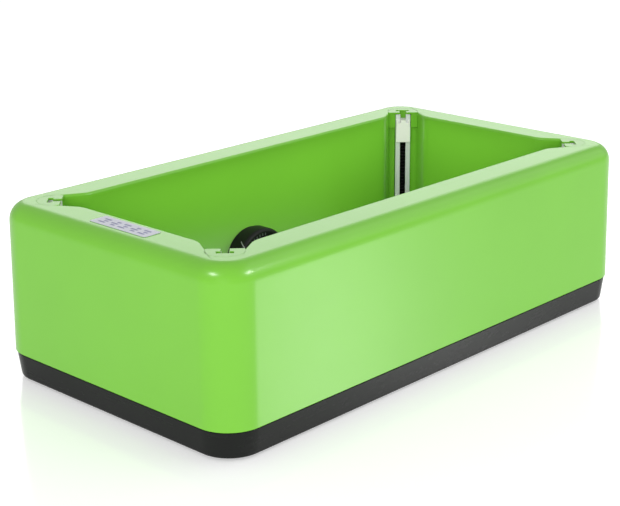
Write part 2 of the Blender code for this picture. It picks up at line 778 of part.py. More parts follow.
def build_knob(axis, material):
    """A dished disc with a grip bar, bored from behind for its shaft."""
    back = KNOB_BACK
    front = back - KNOB_DEPTH
    edge = 3.5 * MM
    profile = [(0.0, front + KNOB_FACE_DISH), (KNOB_R - 9 * MM, front + KNOB_FACE_DISH)]
    profile += [(KNOB_R - 6 * MM, front)]
    for i in range(4):
        angle = math.pi / 2 * i / 3
        profile.append(
            (KNOB_R - edge * (1 - math.sin(angle)), front + edge * (1 - math.cos(angle)))
        )
    bore = SHAFT_R + FIT_GAP
    profile += [
        (KNOB_R, back),
        (bore, back),
        (bore, back - KNOB_BORE_DEPTH),
        (0.0, back - KNOB_BORE_DEPTH),
    ]
    knob = add_object("lock_knob", turned(profile, 36), material, axis)
    reach = KNOB_R - 7 * MM
    grip = box(
        (-KNOB_GRIP_HALF, front - 1.5 * MM, -reach),
        (KNOB_GRIP_HALF, front + KNOB_FACE_DISH + 2 * MM, reach),
    )
    add_boolean(knob, add_object("knob_grip_tool", grip, None, axis), "UNION")


def build_bezel(axis, material):
    """A fixed flange on the well wall whose threaded bush carries the shaft."""
    bore = SHAFT_R + FIT_GAP
    profile = [
        (bore, BEZEL_BACK - BEZEL_DEPTH),
        (BEZEL_R - MM, BEZEL_BACK - BEZEL_DEPTH),
        (BEZEL_R, BEZEL_BACK - BEZEL_DEPTH + MM),
        (BEZEL_R, BEZEL_BACK),
        (BUSH_R, BEZEL_BACK),
        (BUSH_R, BUSH_END),
        (bore, BUSH_END),
    ]
    add_object("knob_bezel", turned(profile, 36), material, axis)


def build_bezel_nut(axis, material):
    """The hexagonal nut that clamps the bezel to the wall from inside the cavity."""
    front = INNER_WALL + 0.7 * MM
    nut_solid = prism(circle(NUT_R, 6), front, front + NUT_DEPTH, along_y)
    nut = add_object("bezel_nut", nut_solid, material, axis)
    hole = prism(circle(BUSH_R + FIT_GAP, 20), front - MM, front + NUT_DEPTH + MM, along_y)
    add_boolean(nut, add_object("nut_hole_tool", hole, None, axis), "DIFFERENCE")


def build_shaft(axis, material):
    front = KNOB_BACK - KNOB_BORE_DEPTH + 0.5 * MM
    end = CRANK_FRONT + CRANK_DEPTH - 0.2 * MM
    profile = [(0.0, front), (SHAFT_R, front), (SHAFT_R, end), (0.0, end)]
    add_object("knob_shaft", turned(profile, 20), material, axis)


def build_shaft_clip(axis, material):
    """The retaining ring behind the bush, which stops the shaft pulling out."""
    front = BUSH_END + FIT_GAP
    back = front + MM
    bore = SHAFT_R + FIT_GAP
    profile = [(bore, front), (CLIP_R, front), (CLIP_R, back), (bore, back)]
    add_object("shaft_clip", turned(profile, 20), material, axis)


def crank_pin_place(side):
    """A crank pin's (x, z) from the shaft at rest: side is 1 for the upper pin."""
    lean = -KNOB_TURN / 2
    return side * CRANK_THROW * math.sin(lean), side * CRANK_THROW * math.cos(lean)


def crank_pin_home(side):
    """The same pin's (x, z) in the whole box."""
    x, z = crank_pin_place(side)
    return x + KNOB_X, z + KNOB_Z


def build_crank(axis, material):
    """A double-ended lever on the shaft with one pin for each lock frame."""
    lean = -KNOB_TURN / 2
    outline = []
    for side in (1, -1):
        x, z = crank_pin_place(side)
        for i in range(9):
            angle = math.pi * i / 8 + (0 if side == 1 else math.pi) - lean
            outline.append(
                (x + CRANK_HALF_WIDTH * math.cos(angle), z + CRANK_HALF_WIDTH * math.sin(angle))
            )
    back = CRANK_FRONT + CRANK_DEPTH
    lever = prism(outline, CRANK_FRONT, back, along_y)
    crank = add_object("crank_lever", lever, material, axis)
    pins = [
        prism(
            circle(CRANK_PIN_R, 12, crank_pin_place(side)),
            CRANK_FRONT + MM,
            back + CRANK_PIN_REACH,
            along_y,
        )
        for side in (1, -1)
    ]
    add_boolean(crank, add_object("crank_pin_tool", merged(pins), None, axis), "UNION")
    bore = prism(circle(SHAFT_R + FIT_GAP, 20), CRANK_FRONT - MM, back + MM, along_y)
    add_boolean(crank, add_object("crank_bore_tool", bore, None, axis), "DIFFERENCE")


def frame_outline(side, inner_end):
    """An L in plan: an arm along the rear wall and one along the end wall."""
    rear_in, rear_out = FRAME_REAR_Y
    end_in, end_out = FRAME_END_X
    finger_in, finger_out = (CORNER_Y + s for s in FINGER_SIDE)

    def tip(y, v):
        """A finger's end, parallel to the rail's back and just behind it."""
        u = math.sqrt(2) * (RAIL_BACK + 0.5 * MM) - v
        return (CORNER_X + u, y)

    points = [
        (inner_end, rear_in),
        (end_in, rear_in),
        (end_in, finger_out),
        tip(finger_out, FINGER_SIDE[1]),
        tip(finger_in, FINGER_SIDE[0]),
        (end_in, finger_in),
        (end_in, -finger_in),
        tip(-finger_in, FINGER_SIDE[0]),
        tip(-finger_out, FINGER_SIDE[1]),
        (end_in, -finger_out),
        (end_in, FRAME_FRONT_Y + 4 * MM),
        (end_in + 3 * MM, FRAME_FRONT_Y + 4 * MM),
        (end_out, FRAME_FRONT_Y + 8 * MM),
        (end_out, rear_out - FRAME_CORNER_CUT),
        (end_out - FRAME_CORNER_CUT, rear_out),
        (inner_end, rear_out),
    ]
    return [(side * x, y) for x, y in points]


def build_lock_frame(name, side, inner_end, lug, material):
    """A sheet frame with two fingers and a slotted lug that a crank pin drives."""
    sheet = prism(frame_outline(side, inner_end), FRAME_Z, FRAME_Z + FRAME_SHEET)
    frame = add_object(name, sheet, material)
    low_y, high_y = FRAME_REAR_Y[0], FRAME_REAR_Y[0] + LUG_SHEET
    lug_solid = prism(lug, low_y + 0.1 * MM, high_y, along_y)
    add_boolean(frame, add_object(f"{name}_lug_tool", lug_solid), "UNION")
    x, z = crank_pin_home(1 if side < 0 else -1)
    rise = CRANK_THROW * (1 - math.cos(KNOB_TURN / 2))
    slot_low = min(z, z - side * rise) - CRANK_PIN_R - 0.5 * MM
    slot_high = max(z, z - side * rise) + CRANK_PIN_R + 0.5 * MM
    slot = box(
        (x - LUG_SLOT_HALF, low_y - MM, slot_low), (x + LUG_SLOT_HALF, high_y + MM, slot_high)
    )
    add_boolean(frame, add_object(f"{name}_slot_tool", slot), "DIFFERENCE")


def build_lock_frames(material):
    plate_top = FRAME_Z + FRAME_SHEET - 0.5 * MM
    x, z = crank_pin_home(1)
    left_lug = [
        (x - LUG_HALF, z - 4.2 * MM),
        (x + LUG_HALF, z - 4.2 * MM),
        (x + LUG_HALF, z + 6 * MM),
        (x - LUG_HALF, z + 6 * MM),
    ]
    build_lock_frame("lock_frame_left", -1, -(x + LUG_HALF - 0.4 * MM), left_lug, material)
    x, z = crank_pin_home(-1)
    riser_in, riser_out = KNOB_X + 18 * MM, KNOB_X + 24 * MM
    right_lug = [
        (x - LUG_HALF, z - 5 * MM),
        (riser_out, z - 5 * MM),
        (riser_out, plate_top),
        (riser_in, plate_top),
        (riser_in, z + 4.2 * MM),
        (x - LUG_HALF, z + 4.2 * MM),
    ]
    build_lock_frame("lock_frame_right", 1, riser_in + 0.4 * MM, right_lug, material)


# ---------------------------------------------------------------- assembly


def main():
    for obj in list(bpy.data.objects):
        bpy.data.objects.remove(obj)
    green = make_material("green_abs", (0.27, 0.62, 0.08), 0.35)
    charcoal = make_material("charcoal_abs", (0.035, 0.038, 0.036), 0.5)
    aluminium = make_material("rail_aluminium", (0.75, 0.77, 0.77), 0.35, 1.0)
    white = make_material("slider_white", (0.88, 0.88, 0.80), 0.4)
    spring_steel = make_material("spring_black", (0.02, 0.02, 0.02), 0.4, 1.0)
    black = make_material("knob_black", (0.012, 0.012, 0.012), 0.4)
    steel = make_material("zinc_steel", (0.6, 0.6, 0.6), 0.4, 1.0)
    rubber = make_material("foot_rubber", (0.02, 0.02, 0.02), 0.9)
    paper = make_material("label_white", (0.85, 0.85, 0.9), 0.5)

    build_shell(green)
    build_base(charcoal)
    build_feet(rubber)
    build_base_screws(steel)
    build_label(paper)
    build_corners(green, aluminium, white, black, spring_steel)
    axis = place("knob_axis", None, None, (KNOB_X, KNOB_WALL_Y, KNOB_Z))
    build_knob(axis, black)
    build_bezel(axis, black)
    build_bezel_nut(axis, black)
    build_shaft(axis, steel)
    build_shaft_clip(axis, steel)
    build_crank(axis, steel)
    build_lock_frames(steel)


main()
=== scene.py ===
"""Looks, light and camera for the shoe-cover dispenser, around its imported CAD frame."""

import json
import math

import bmesh
import bpy
from mathutils import Matrix, Vector
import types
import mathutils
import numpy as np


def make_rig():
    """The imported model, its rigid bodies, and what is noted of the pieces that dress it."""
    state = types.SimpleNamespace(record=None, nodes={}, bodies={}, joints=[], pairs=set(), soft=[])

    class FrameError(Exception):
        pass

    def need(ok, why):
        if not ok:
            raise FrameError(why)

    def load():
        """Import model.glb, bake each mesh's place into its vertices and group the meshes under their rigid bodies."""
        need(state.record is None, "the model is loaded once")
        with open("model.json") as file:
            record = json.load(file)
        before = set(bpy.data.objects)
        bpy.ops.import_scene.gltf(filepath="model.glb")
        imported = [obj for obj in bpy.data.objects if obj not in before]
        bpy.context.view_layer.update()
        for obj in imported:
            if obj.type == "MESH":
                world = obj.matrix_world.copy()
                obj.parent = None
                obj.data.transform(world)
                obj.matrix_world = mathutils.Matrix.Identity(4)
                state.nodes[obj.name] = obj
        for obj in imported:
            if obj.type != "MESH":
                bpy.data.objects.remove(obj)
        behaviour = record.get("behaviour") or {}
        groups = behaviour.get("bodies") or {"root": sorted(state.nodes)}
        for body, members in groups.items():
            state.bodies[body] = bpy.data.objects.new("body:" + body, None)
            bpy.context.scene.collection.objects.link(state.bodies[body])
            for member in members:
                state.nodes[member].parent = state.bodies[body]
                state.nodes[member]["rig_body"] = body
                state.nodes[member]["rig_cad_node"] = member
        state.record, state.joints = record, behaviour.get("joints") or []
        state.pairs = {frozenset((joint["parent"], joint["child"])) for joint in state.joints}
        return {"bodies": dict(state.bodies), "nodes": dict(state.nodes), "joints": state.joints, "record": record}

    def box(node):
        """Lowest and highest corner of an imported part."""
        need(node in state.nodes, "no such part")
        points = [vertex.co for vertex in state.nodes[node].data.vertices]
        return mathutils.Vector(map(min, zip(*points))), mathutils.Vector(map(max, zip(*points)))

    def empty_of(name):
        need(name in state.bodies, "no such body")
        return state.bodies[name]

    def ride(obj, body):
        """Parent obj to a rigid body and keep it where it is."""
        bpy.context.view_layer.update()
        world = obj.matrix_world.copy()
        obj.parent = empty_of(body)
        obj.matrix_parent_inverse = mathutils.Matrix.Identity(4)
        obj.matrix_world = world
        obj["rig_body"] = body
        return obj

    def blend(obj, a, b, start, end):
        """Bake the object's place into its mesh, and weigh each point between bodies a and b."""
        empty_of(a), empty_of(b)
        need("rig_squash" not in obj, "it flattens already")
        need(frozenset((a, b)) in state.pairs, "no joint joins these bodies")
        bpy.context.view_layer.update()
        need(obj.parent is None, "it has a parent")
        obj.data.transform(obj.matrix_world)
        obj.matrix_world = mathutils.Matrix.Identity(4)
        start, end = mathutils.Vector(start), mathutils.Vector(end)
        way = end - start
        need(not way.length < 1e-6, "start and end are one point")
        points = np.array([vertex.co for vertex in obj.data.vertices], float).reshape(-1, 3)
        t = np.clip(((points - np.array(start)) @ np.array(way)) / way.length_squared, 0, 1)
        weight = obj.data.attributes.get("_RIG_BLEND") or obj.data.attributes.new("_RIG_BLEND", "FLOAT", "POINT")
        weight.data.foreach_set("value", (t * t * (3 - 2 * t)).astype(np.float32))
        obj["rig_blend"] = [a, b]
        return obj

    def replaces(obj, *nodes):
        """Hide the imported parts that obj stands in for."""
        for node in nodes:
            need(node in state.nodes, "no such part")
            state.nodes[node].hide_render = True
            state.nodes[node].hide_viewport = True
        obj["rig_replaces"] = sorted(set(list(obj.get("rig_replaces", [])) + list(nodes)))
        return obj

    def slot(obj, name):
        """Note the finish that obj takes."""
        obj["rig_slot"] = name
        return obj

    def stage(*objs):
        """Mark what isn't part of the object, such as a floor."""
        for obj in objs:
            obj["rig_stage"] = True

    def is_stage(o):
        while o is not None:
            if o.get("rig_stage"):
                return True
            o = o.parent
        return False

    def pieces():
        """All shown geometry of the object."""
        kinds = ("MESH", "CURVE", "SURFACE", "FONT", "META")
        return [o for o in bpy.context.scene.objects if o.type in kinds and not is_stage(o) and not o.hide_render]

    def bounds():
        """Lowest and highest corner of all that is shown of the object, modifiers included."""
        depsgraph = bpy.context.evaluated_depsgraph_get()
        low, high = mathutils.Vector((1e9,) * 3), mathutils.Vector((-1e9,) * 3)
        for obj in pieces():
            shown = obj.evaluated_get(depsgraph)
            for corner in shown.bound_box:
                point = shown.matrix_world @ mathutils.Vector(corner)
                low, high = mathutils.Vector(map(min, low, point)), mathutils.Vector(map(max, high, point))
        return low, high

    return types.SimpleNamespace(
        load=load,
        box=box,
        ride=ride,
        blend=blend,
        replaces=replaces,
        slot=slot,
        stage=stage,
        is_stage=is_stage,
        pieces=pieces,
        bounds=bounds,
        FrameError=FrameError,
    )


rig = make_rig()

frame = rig.load()
cad_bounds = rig.bounds()

MM = 0.001
CORNERS = {
    "front_left": (-1, -1),
    "front_right": (1, -1),
    "rear_left": (-1, 1),
    "rear_right": (1, 1),
}

# Shell
RIM_LENGTH = 420 * MM
RIM_WIDTH = 225 * MM
RIM_Z = 125 * MM
SEAM_Z = 20 * MM
OUTER_DRAFT = 0.0137
OUTER_CORNER_R = 25 * MM
RIM_FILLET = 12 * MM
OUTER_WALL = 3 * MM
INNER_WALL = 2.5 * MM
RIM_WALL = 3 * MM
RIM_ON_ENDS = 31.7 * MM
RIM_ON_SIDES = 32.8 * MM
WELL_DRAFT = 0.014
WELL_EDGE_R = 1.8 * MM
WELL_BOTTOM_Z = 5 * MM
SEAM_BEVEL = 0.5 * MM
ALCOVE_R = 12.6 * MM
ALCOVE_DEEP = 4.2 * MM
FLARE_ANGLE = math.radians(30)
FLARE_R = 18 * MM
FLARE_STEPS = 8
LEDGE_Z = 111.7 * MM
# The rail's channel below a corner's ledge: half its outline, as (across, deep) in mm.
CHANNEL_HALF = (
    (11.35, 0.95),
    (10.95, 1.75),
    (10.55, 2.35),
    (10.0, 2.85),
    (9.2, 3.2),
    (8.2, 3.5),
    (6.9, 3.85),
    (6.55, 3.98),
    (6.4, 4.3),
    (6.4, 8.0),
    (6.4, 12.0),
    (5.9, 12.5),
    (0.0, 12.5),
)
# The same, point for point, round the outside of the channel's wall.
CHANNEL_OUTSIDE_HALF = (
    (12.9, 3.6),
    (12.5, 4.6),
    (12.0, 5.2),
    (11.2, 5.6),
    (10.4, 5.95),
    (9.6, 6.3),
    (9.1, 6.5),
    (8.9, 6.7),
    (8.9, 7.5),
    (8.9, 9.5),
    (8.9, 11.0),
    (6.0, 15.0),
    (0.0, 15.0),
)
ALCOVE_STEPS = 2 * len(CHANNEL_HALF)
CORNER_X = RIM_LENGTH / 2 - RIM_ON_ENDS
CORNER_Y = RIM_WIDTH / 2 - RIM_ON_SIDES

# Base tray
BASE_BOTTOM_Z = 1.5 * MM
FLOOR_Z = 4.5 * MM
BASE_INSET_TOP = 0.4 * MM
BASE_TAPER = 2.0 * MM
BASE_FOOT_R = 2.0 * MM
LIP_HEIGHT = 3 * MM
LIP_WALL = 2 * MM
BASE_CORNER_STEPS = 20

# Corner pieces
RAIL_HALF = 6.1 * MM
RAIL_FRONT = 0.3 * MM
RAIL_BACK = 12 * MM
RAIL_FLANGE = 1.5 * MM
RAIL_WEB = 1.4 * MM
RAIL_SIDE = 0.7 * MM
RAIL_SLOT_HALF = 2.3 * MM
LINER_FRONT = 9.5 * MM
LINER_SHEET = 0.8 * MM
CAP_PLATE = 1.5 * MM
CAP_HEIGHT = 13 * MM
CAP_GAP = -0.02 * MM
SLOT_MOUTH_HALF = 2.6 * MM
SLOT_BAR_HALF = 5.4 * MM
SLOT_BAR_FROM = 6.0 * MM
SLOT_BAR_TO = 9.2 * MM
SLIDER_PLATE = 2.2 * MM
SHOULDER_DROP = 5 * MM
SHOULDER_STEP = 0.35 * MM
NOTCH_ACROSS = (2.1 * MM, 4.3 * MM)
NOTCH_DROP = 2.4 * MM
FIT_GAP = 0.3 * MM
SPRING_R = 3.0 * MM
SPRING_WIRE_R = 0.45 * MM
SPRING_TURNS = 34

# The lock frames' fingers: the windows they come through, in the frame of the box
WINDOW_X = (182.5 * MM, 199 * MM)
WINDOW_Y = (84.3 * MM, 88.9 * MM)
WINDOW_Z = (45.2 * MM, 48.8 * MM)

# Knob
KNOB_R = 25.6 * MM
KNOB_DEPTH = 12.2 * MM
BEZEL_R = 24.4 * MM
BEZEL_DEPTH = 3 * MM

SMOOTH_ANGLE = math.radians(35)

KNOB_EDGE_R = 3.2 * MM
KNOB_GRIP_HALF = 4 * MM
BEZEL_EDGE_R = 1.0 * MM
BEZEL_BORE_R = 3.3 * MM
BUSH_R = 6 * MM
BUSH_HOLE_R = BUSH_R + FIT_GAP
# The knob's painted highlight: a light grey line over its rounded side, each end an angle in degrees and a depth
# behind the front.
EDGE_HIGHLIGHT_FROM = (134, 5.9 * MM)
EDGE_HIGHLIGHT_TO = (142, 0.6 * MM)

# Label
LABEL_CORNER_R = 1.2 * MM
PRINT_BLOCK = 6.4 * MM
PRINT_GAP = 3.2 * MM
PRINT_BLOCKS = 5
PRINT_ROWS = 3
PRINT_MARGIN = 2.6 * MM
PRINT_LIFT = 0.02 * MM

# Feet and screws
FOOT_EDGE_R = 0.8 * MM
FOOT_FACE_INSET = 3 * MM
SCREW_HEAD_R = 3.4 * MM
SCREW_SHANK_R = 1.75 * MM
SCREW_HEAD_TOP_Z = 3.2 * MM
SCREW_THREADS = 22
CROSS_HALF = (0.5 * MM, 2.1 * MM)
CROSS_DEPTH = 1.1 * MM

# Stage, in metres and radiance
FLOOR_RADIUS = 9.0
FLOOR_GLOW = 0.35
SKY_STRENGTH = 0.6

# What the lights are aimed at, and the two glints on the rounded rim of the front left corner
LIGHT_TARGET = (0.0, 0.0, 0.06)
GLINT_SIDE = (-0.189, -0.1103, 0.1195)
GLINT_END = (-0.206, -0.0971, 0.1195)

# Camera, measured round the box: degrees, metres and millimetres of lens
CAMERA_AZIMUTH = -46.5
CAMERA_ELEVATION = 17.94
CAMERA_ROLL = -0.47
CAMERA_DISTANCE = 1.1185
CAMERA_SIDE = -0.0143
CAMERA_RISE = 0.0541
CAMERA_TARGET_Z = 0.005
CAMERA_LENS = 87.38


# ---------------------------------------------------------------- materials


class Nodes:
    """Short helpers to wire one material's node tree."""

    def __init__(self, name):
        self.material = bpy.data.materials.new(name)
        self.material.use_nodes = True
        self.tree = self.material.node_tree
        self.shader = self.tree.nodes["Principled BSDF"]
        self.position = self.tree.nodes.new("ShaderNodeTexCoord").outputs["Object"]

    def link(self, source, target):
        self.tree.links.new(source, target)

    def scaled(self, scale):
        mapping = self.tree.nodes.new("ShaderNodeMapping")
        mapping.inputs["Scale"].default_value = scale
        self.link(self.position, mapping.inputs["Vector"])
        return mapping.outputs["Vector"]

    def noise(self, scale, detail=3.0, roughness=0.5, stretch=None):
        node = self.tree.nodes.new("ShaderNodeTexNoise")
        node.inputs["Scale"].default_value = scale
        node.inputs["Detail"].default_value = detail
        node.inputs["Roughness"].default_value = roughness
        source = self.scaled(stretch) if stretch else self.position
        self.link(source, node.inputs["Vector"])
        return node.outputs["Fac"]

    def ramp(self, factor, stops):
        node = self.tree.nodes.new("ShaderNodeValToRGB")
        elements = node.color_ramp.elements
        while len(elements) < len(stops):
            elements.new(0.5)
        for element, (place, colour) in zip(elements, stops):
            element.position = place
            element.color = (*colour, 1.0) if len(colour) == 3 else colour
        self.link(factor, node.inputs["Fac"])
        return node.outputs["Color"]

    def spread(self, factor, low, high, source_low=0.3, source_high=0.7):
        node = self.tree.nodes.new("ShaderNodeMapRange")
        node.inputs["From Min"].default_value = source_low
        node.inputs["From Max"].default_value = source_high
        node.inputs["To Min"].default_value = low
        node.inputs["To Max"].default_value = high
        self.link(factor, node.inputs["Value"])
        return node.outputs["Result"]

    def mix(self, factor, one, two):
        node = self.tree.nodes.new("ShaderNodeMix")
        node.data_type = "RGBA"
        for socket, value in (("A", one), ("B", two)):
            target = next(
                s for s in node.inputs if s.name == socket and s.type == "RGBA"
            )
            if isinstance(value, tuple):
                target.default_value = (*value, 1.0)
            else:
                self.link(value, target)
        self.link(factor, node.inputs["Factor"])
        return next(s for s in node.outputs if s.type == "RGBA")

    def colour(self, source):
        self.link(source, self.shader.inputs["Base Color"])

    def roughness(self, source):
        self.link(source, self.shader.inputs["Roughness"])

    def bump(self, source, distance, strength=1.0, before=None):
        node = self.tree.nodes.new("ShaderNodeBump")
        node.inputs["Distance"].default_value = distance
        node.inputs["Strength"].default_value = strength
        self.link(source, node.inputs["Height"])
        if before:
            self.link(before, node.inputs["Normal"])
        self.link(node.outputs["Normal"], self.shader.inputs["Normal"])
        return node.outputs["Normal"]


def shade_between(colour, amount):
    """Two colours a little darker and lighter than the given one."""
    return (
        tuple(c * (1 - amount) for c in colour),
        tuple(min(1.0, c * (1 + amount)) for c in colour),
    )


def plastic(name, colour, rough, grain, grain_depth, variation=0.04, wear=0.06, shine=0.5):
    """Moulded plastic: cloudy colour, uneven sheen, faint rubbed patches and a fine grain."""
    nodes = Nodes(name)
    nodes.shader.inputs["Specular IOR Level"].default_value = shine
    dark, light = shade_between(colour, variation)
    clouds = nodes.noise(14.0, detail=4.0)
    base = nodes.ramp(clouds, [(0.3, dark), (0.7, light)])
    rubbed = nodes.noise(60.0, detail=6.0, roughness=0.7, stretch=(1.0, 0.35, 2.2))
    mask = nodes.spread(rubbed, 0.0, wear, 0.55, 0.8)
    worn = tuple(min(1.0, c * 0.97 + 0.01) for c in colour)
    nodes.colour(nodes.mix(mask, base, worn))
    nodes.roughness(nodes.spread(rubbed, rough * 0.97, rough * 1.04))
    grain_noise = nodes.noise(grain, detail=2.0)
    first = nodes.bump(nodes.noise(22.0, detail=1.0), 0.06 * MM, 0.25)
    nodes.bump(grain_noise, grain_depth, 0.5, first)
    return nodes.material


def metal(name, colour, rough, streak, metallic=1.0, brushed=0.02 * MM):
    """Drawn or plated metal: streaks along one axis in colour, sheen and bump."""
    nodes = Nodes(name)
    nodes.shader.inputs["Metallic"].default_value = metallic
    dark, light = shade_between(colour, 0.08)
    lines = nodes.noise(180.0, detail=3.0, stretch=streak)
    nodes.colour(nodes.ramp(lines, [(0.3, dark), (0.7, light)]))
    patches = nodes.noise(40.0, detail=4.0)
    nodes.roughness(nodes.spread(patches, rough * 0.8, rough * 1.25))
    nodes.bump(lines, brushed, 0.4)
    return nodes.material


def label_material():
    """White vinyl with faint grey handling marks."""
    nodes = Nodes("label_vinyl")
    marks = nodes.noise(90.0, detail=5.0)
    handled, clean = (0.54, 0.56, 0.63), (0.62, 0.63, 0.70)
    nodes.colour(nodes.ramp(marks, [(0.35, handled), (0.7, clean)]))
    nodes.roughness(nodes.spread(marks, 0.38, 0.55))
    nodes.bump(nodes.noise(500.0), 0.01 * MM, 0.3)
    return nodes.material


def floor_material():
    """Polished white floor with a slight glow, so that it stays white into the distance."""
    nodes = Nodes("studio_floor_look")
    tone = nodes.noise(3.0)
    nodes.colour(nodes.ramp(tone, [(0.3, (0.90, 0.90, 0.90)), (0.7, (0.92, 0.92, 0.92))]))
    nodes.shader.inputs["Emission Color"].default_value = (1.0, 1.0, 1.0, 1.0)
    nodes.shader.inputs["Emission Strength"].default_value = FLOOR_GLOW
    nodes.shader.inputs["Roughness"].default_value = 0.12
    nodes.shader.inputs["IOR"].default_value = 1.5
    return nodes.material


def ink_and_painted_highlight(name, colour, rough=0.5):
    """Ink on a plastic surface; also the knob's painted highlights."""
    return plastic(name, colour, rough, grain=900.0, grain_depth=0.01 * MM, variation=0.1)


# Linear colours
GREEN = (0.172, 0.50, 0.034)
CHARCOAL = (0.015, 0.016, 0.015)
BLACK = (0.006, 0.007, 0.006)
KNOB_FACE = (0.012, 0.009, 0.010)
WHITE = (0.95, 0.95, 0.88)
RUBBER = (0.018, 0.018, 0.018)
ALUMINIUM = (0.88, 0.89, 0.90)
ZINC = (0.60, 0.61, 0.62)
SPRING_STEEL = (0.03, 0.03, 0.03)
INK_BLUE = (0.20, 0.21, 0.36)
# Painted highlights on the knob: a light grey line over its rounded side and fainter grey ticks on its face.
EDGE_HIGHLIGHT_GREY = (0.24, 0.25, 0.24)
RING_HIGHLIGHT_GREY = (0.10, 0.11, 0.11)

# How a metal's streaks are stretched
ALONG_Z = (1.0, 1.0, 0.03)
ALONG_X = (0.05, 1.0, 1.0)
EVEN = (1.0, 1.0, 1.0)

MATERIALS = {
    "green": plastic(
        "green_abs_look",
        GREEN,
        rough=0.26,
        grain=1400.0,
        grain_depth=0.012 * MM,
        variation=0.02,
        shine=0.46,
    ),
    "charcoal": plastic(
        "charcoal_abs_look",
        CHARCOAL,
        rough=0.27,
        grain=2200.0,
        grain_depth=0.02 * MM,
        variation=0.08,
        wear=0.01,
        shine=0.07,
    ),
    "black": plastic(
        "black_nylon_look",
        BLACK,
        rough=0.45,
        grain=1800.0,
        grain_depth=0.02 * MM,
        variation=0.12,
        wear=0.02,
        shine=0.2,
    ),
    "knob_face": plastic(
        "knob_face_look",
        KNOB_FACE,
        rough=0.5,
        grain=1600.0,
        grain_depth=0.03 * MM,
        variation=0.1,
        wear=0.02,
        shine=0.2,
    ),
    "white": plastic(
        "white_acetal_look",
        WHITE,
        rough=0.35,
        grain=1500.0,
        grain_depth=0.01 * MM,
        variation=0.02,
    ),
    "rubber": plastic(
        "foot_rubber_look",
        RUBBER,
        rough=0.7,
        grain=900.0,
        grain_depth=0.05 * MM,
        variation=0.15,
    ),
    "aluminium": metal("aluminium_look", ALUMINIUM, 0.42, streak=ALONG_Z, metallic=0.3),
    "zinc": metal("zinc_look", ZINC, 0.38, streak=ALONG_X),
    "spring": metal("spring_wire_look", SPRING_STEEL, 0.45, streak=EVEN),
    "label": label_material(),
    "print": ink_and_painted_highlight("print_look", INK_BLUE),
    # The knob's painted highlights, light grey on its edge and fainter grey on its face.
    "mark": ink_and_painted_highlight("knob_mark_look", EDGE_HIGHLIGHT_GREY, rough=0.45),
    "faint_mark": ink_and_painted_highlight("knob_scale_look", RING_HIGHLIGHT_GREY),
    "floor": floor_material(),
}
NODE_LOOKS = {"bezel_nut": "black", "knob_shaft": "zinc", "shaft_clip": "zinc"}
NODE_LOOKS.update({"crank_lever": "zinc", "lock_frame_left": "zinc", "lock_frame_right": "zinc"})
NODE_LOOKS.update({f"rail_plug_{corner}": "black" for corner in CORNERS})
for node_name, look in NODE_LOOKS.items():
    for node_slot in frame["nodes"][node_name].material_slots:
        node_slot.material = MATERIALS[look]


# ---------------------------------------------------------------- piece helpers


def add_piece(name, bm, look, smooth=SMOOTH_ANGLE):
    bmesh.ops.recalc_face_normals(bm, faces=bm.faces)
    mesh = bpy.data.meshes.new(name)
    bm.to_mesh(mesh)
    bm.free()
    mesh.shade_smooth()
    mesh.set_sharp_from_angle(angle=smooth)
    mesh.materials.append(MATERIALS[look])
    piece = bpy.data.objects.new(name, mesh)
    bpy.context.scene.collection.objects.link(piece)
    return piece


def soften(piece, width, segments=2, angle=40):
    bevel = piece.modifiers.new("edges", "BEVEL")
    bevel.width = width
    bevel.segments = segments
    bevel.limit_method = "ANGLE"
    bevel.angle_limit = math.radians(angle)
    bevel.harden_normals = False
    even_normals(piece)


def even_normals(piece):
    weighted = piece.modifiers.new("even", "WEIGHTED_NORMAL")
    weighted.keep_sharp = True
    weighted.weight = 80


def cut(piece, tool):
    """Cuts the tool from the piece at once and removes the tool."""
    modifier = piece.modifiers.new("cut", "BOOLEAN")
    modifier.operation = "DIFFERENCE"
    modifier.solver = "EXACT"
    modifier.object = tool
    with bpy.context.temp_override(object=piece, active_object=piece):
        bpy.ops.object.modifier_apply(modifier=modifier.name)
    piece.data.set_sharp_from_angle(angle=SMOOTH_ANGLE)
    bpy.data.objects.remove(tool)


def loft(rings, close_ends=True, loop=False):
    bm = bmesh.new()
    loops = [[bm.verts.new(point) for point in ring] for ring in rings]
    pairs = list(zip(loops, loops[1:]))
    if loop:
        pairs.append((loops[-1], loops[0]))
    for lower, upper in pairs:
        for i, vert in enumerate(lower):
            j = (i + 1) % len(lower)
            bm.faces.new((vert, lower[j], upper[j], upper[i]))
    if close_ends and not loop:
        bm.faces.new(loops[0])
        bm.faces.new(loops[-1])
    return bm


def join(parts):
    result = bmesh.new()
    for part in parts:
        mesh = bpy.data.meshes.new("joined")
        part.to_mesh(mesh)
        part.free()
        result.from_mesh(mesh)
        bpy.data.meshes.remove(mesh)
    return result


def plain(a, b, c):
    return (a, b, c)


def upright(a, b, c):
    """Stands a plan outline up in the XZ plane, with its height along Y."""
    return (a, c, b)


def middle_of(node_name):
    low, high = map(Vector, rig.box(node_name))
    return (low + high) / 2


def prism(outline, low, high, place=plain):
    return loft([[place(a, b, level) for a, b in outline] for level in (low, high)])


def box(low, high, place=plain):
    outline = [(low[0], low[1]), (high[0], low[1]), (high[0], high[1]), (low[0], high[1])]
    return prism(outline, low[2], high[2], place)


def circle(radius, steps, centre=(0.0, 0.0)):
    angles = [2 * math.pi * i / steps for i in range(steps)]
    return [
        (centre[0] + radius * math.cos(a), centre[1] + radius * math.sin(a)) for a in angles
    ]


def at_corner(sx, sy):
    """Maps a corner's own (across, deep, z) to the box's frame."""
    half = math.sqrt(0.5)

    def place(across, deep, z):
        return (
            sx * (CORNER_X + (deep - across) * half),
            sy * (CORNER_Y + (deep + across) * half),
            z,
        )

    return place


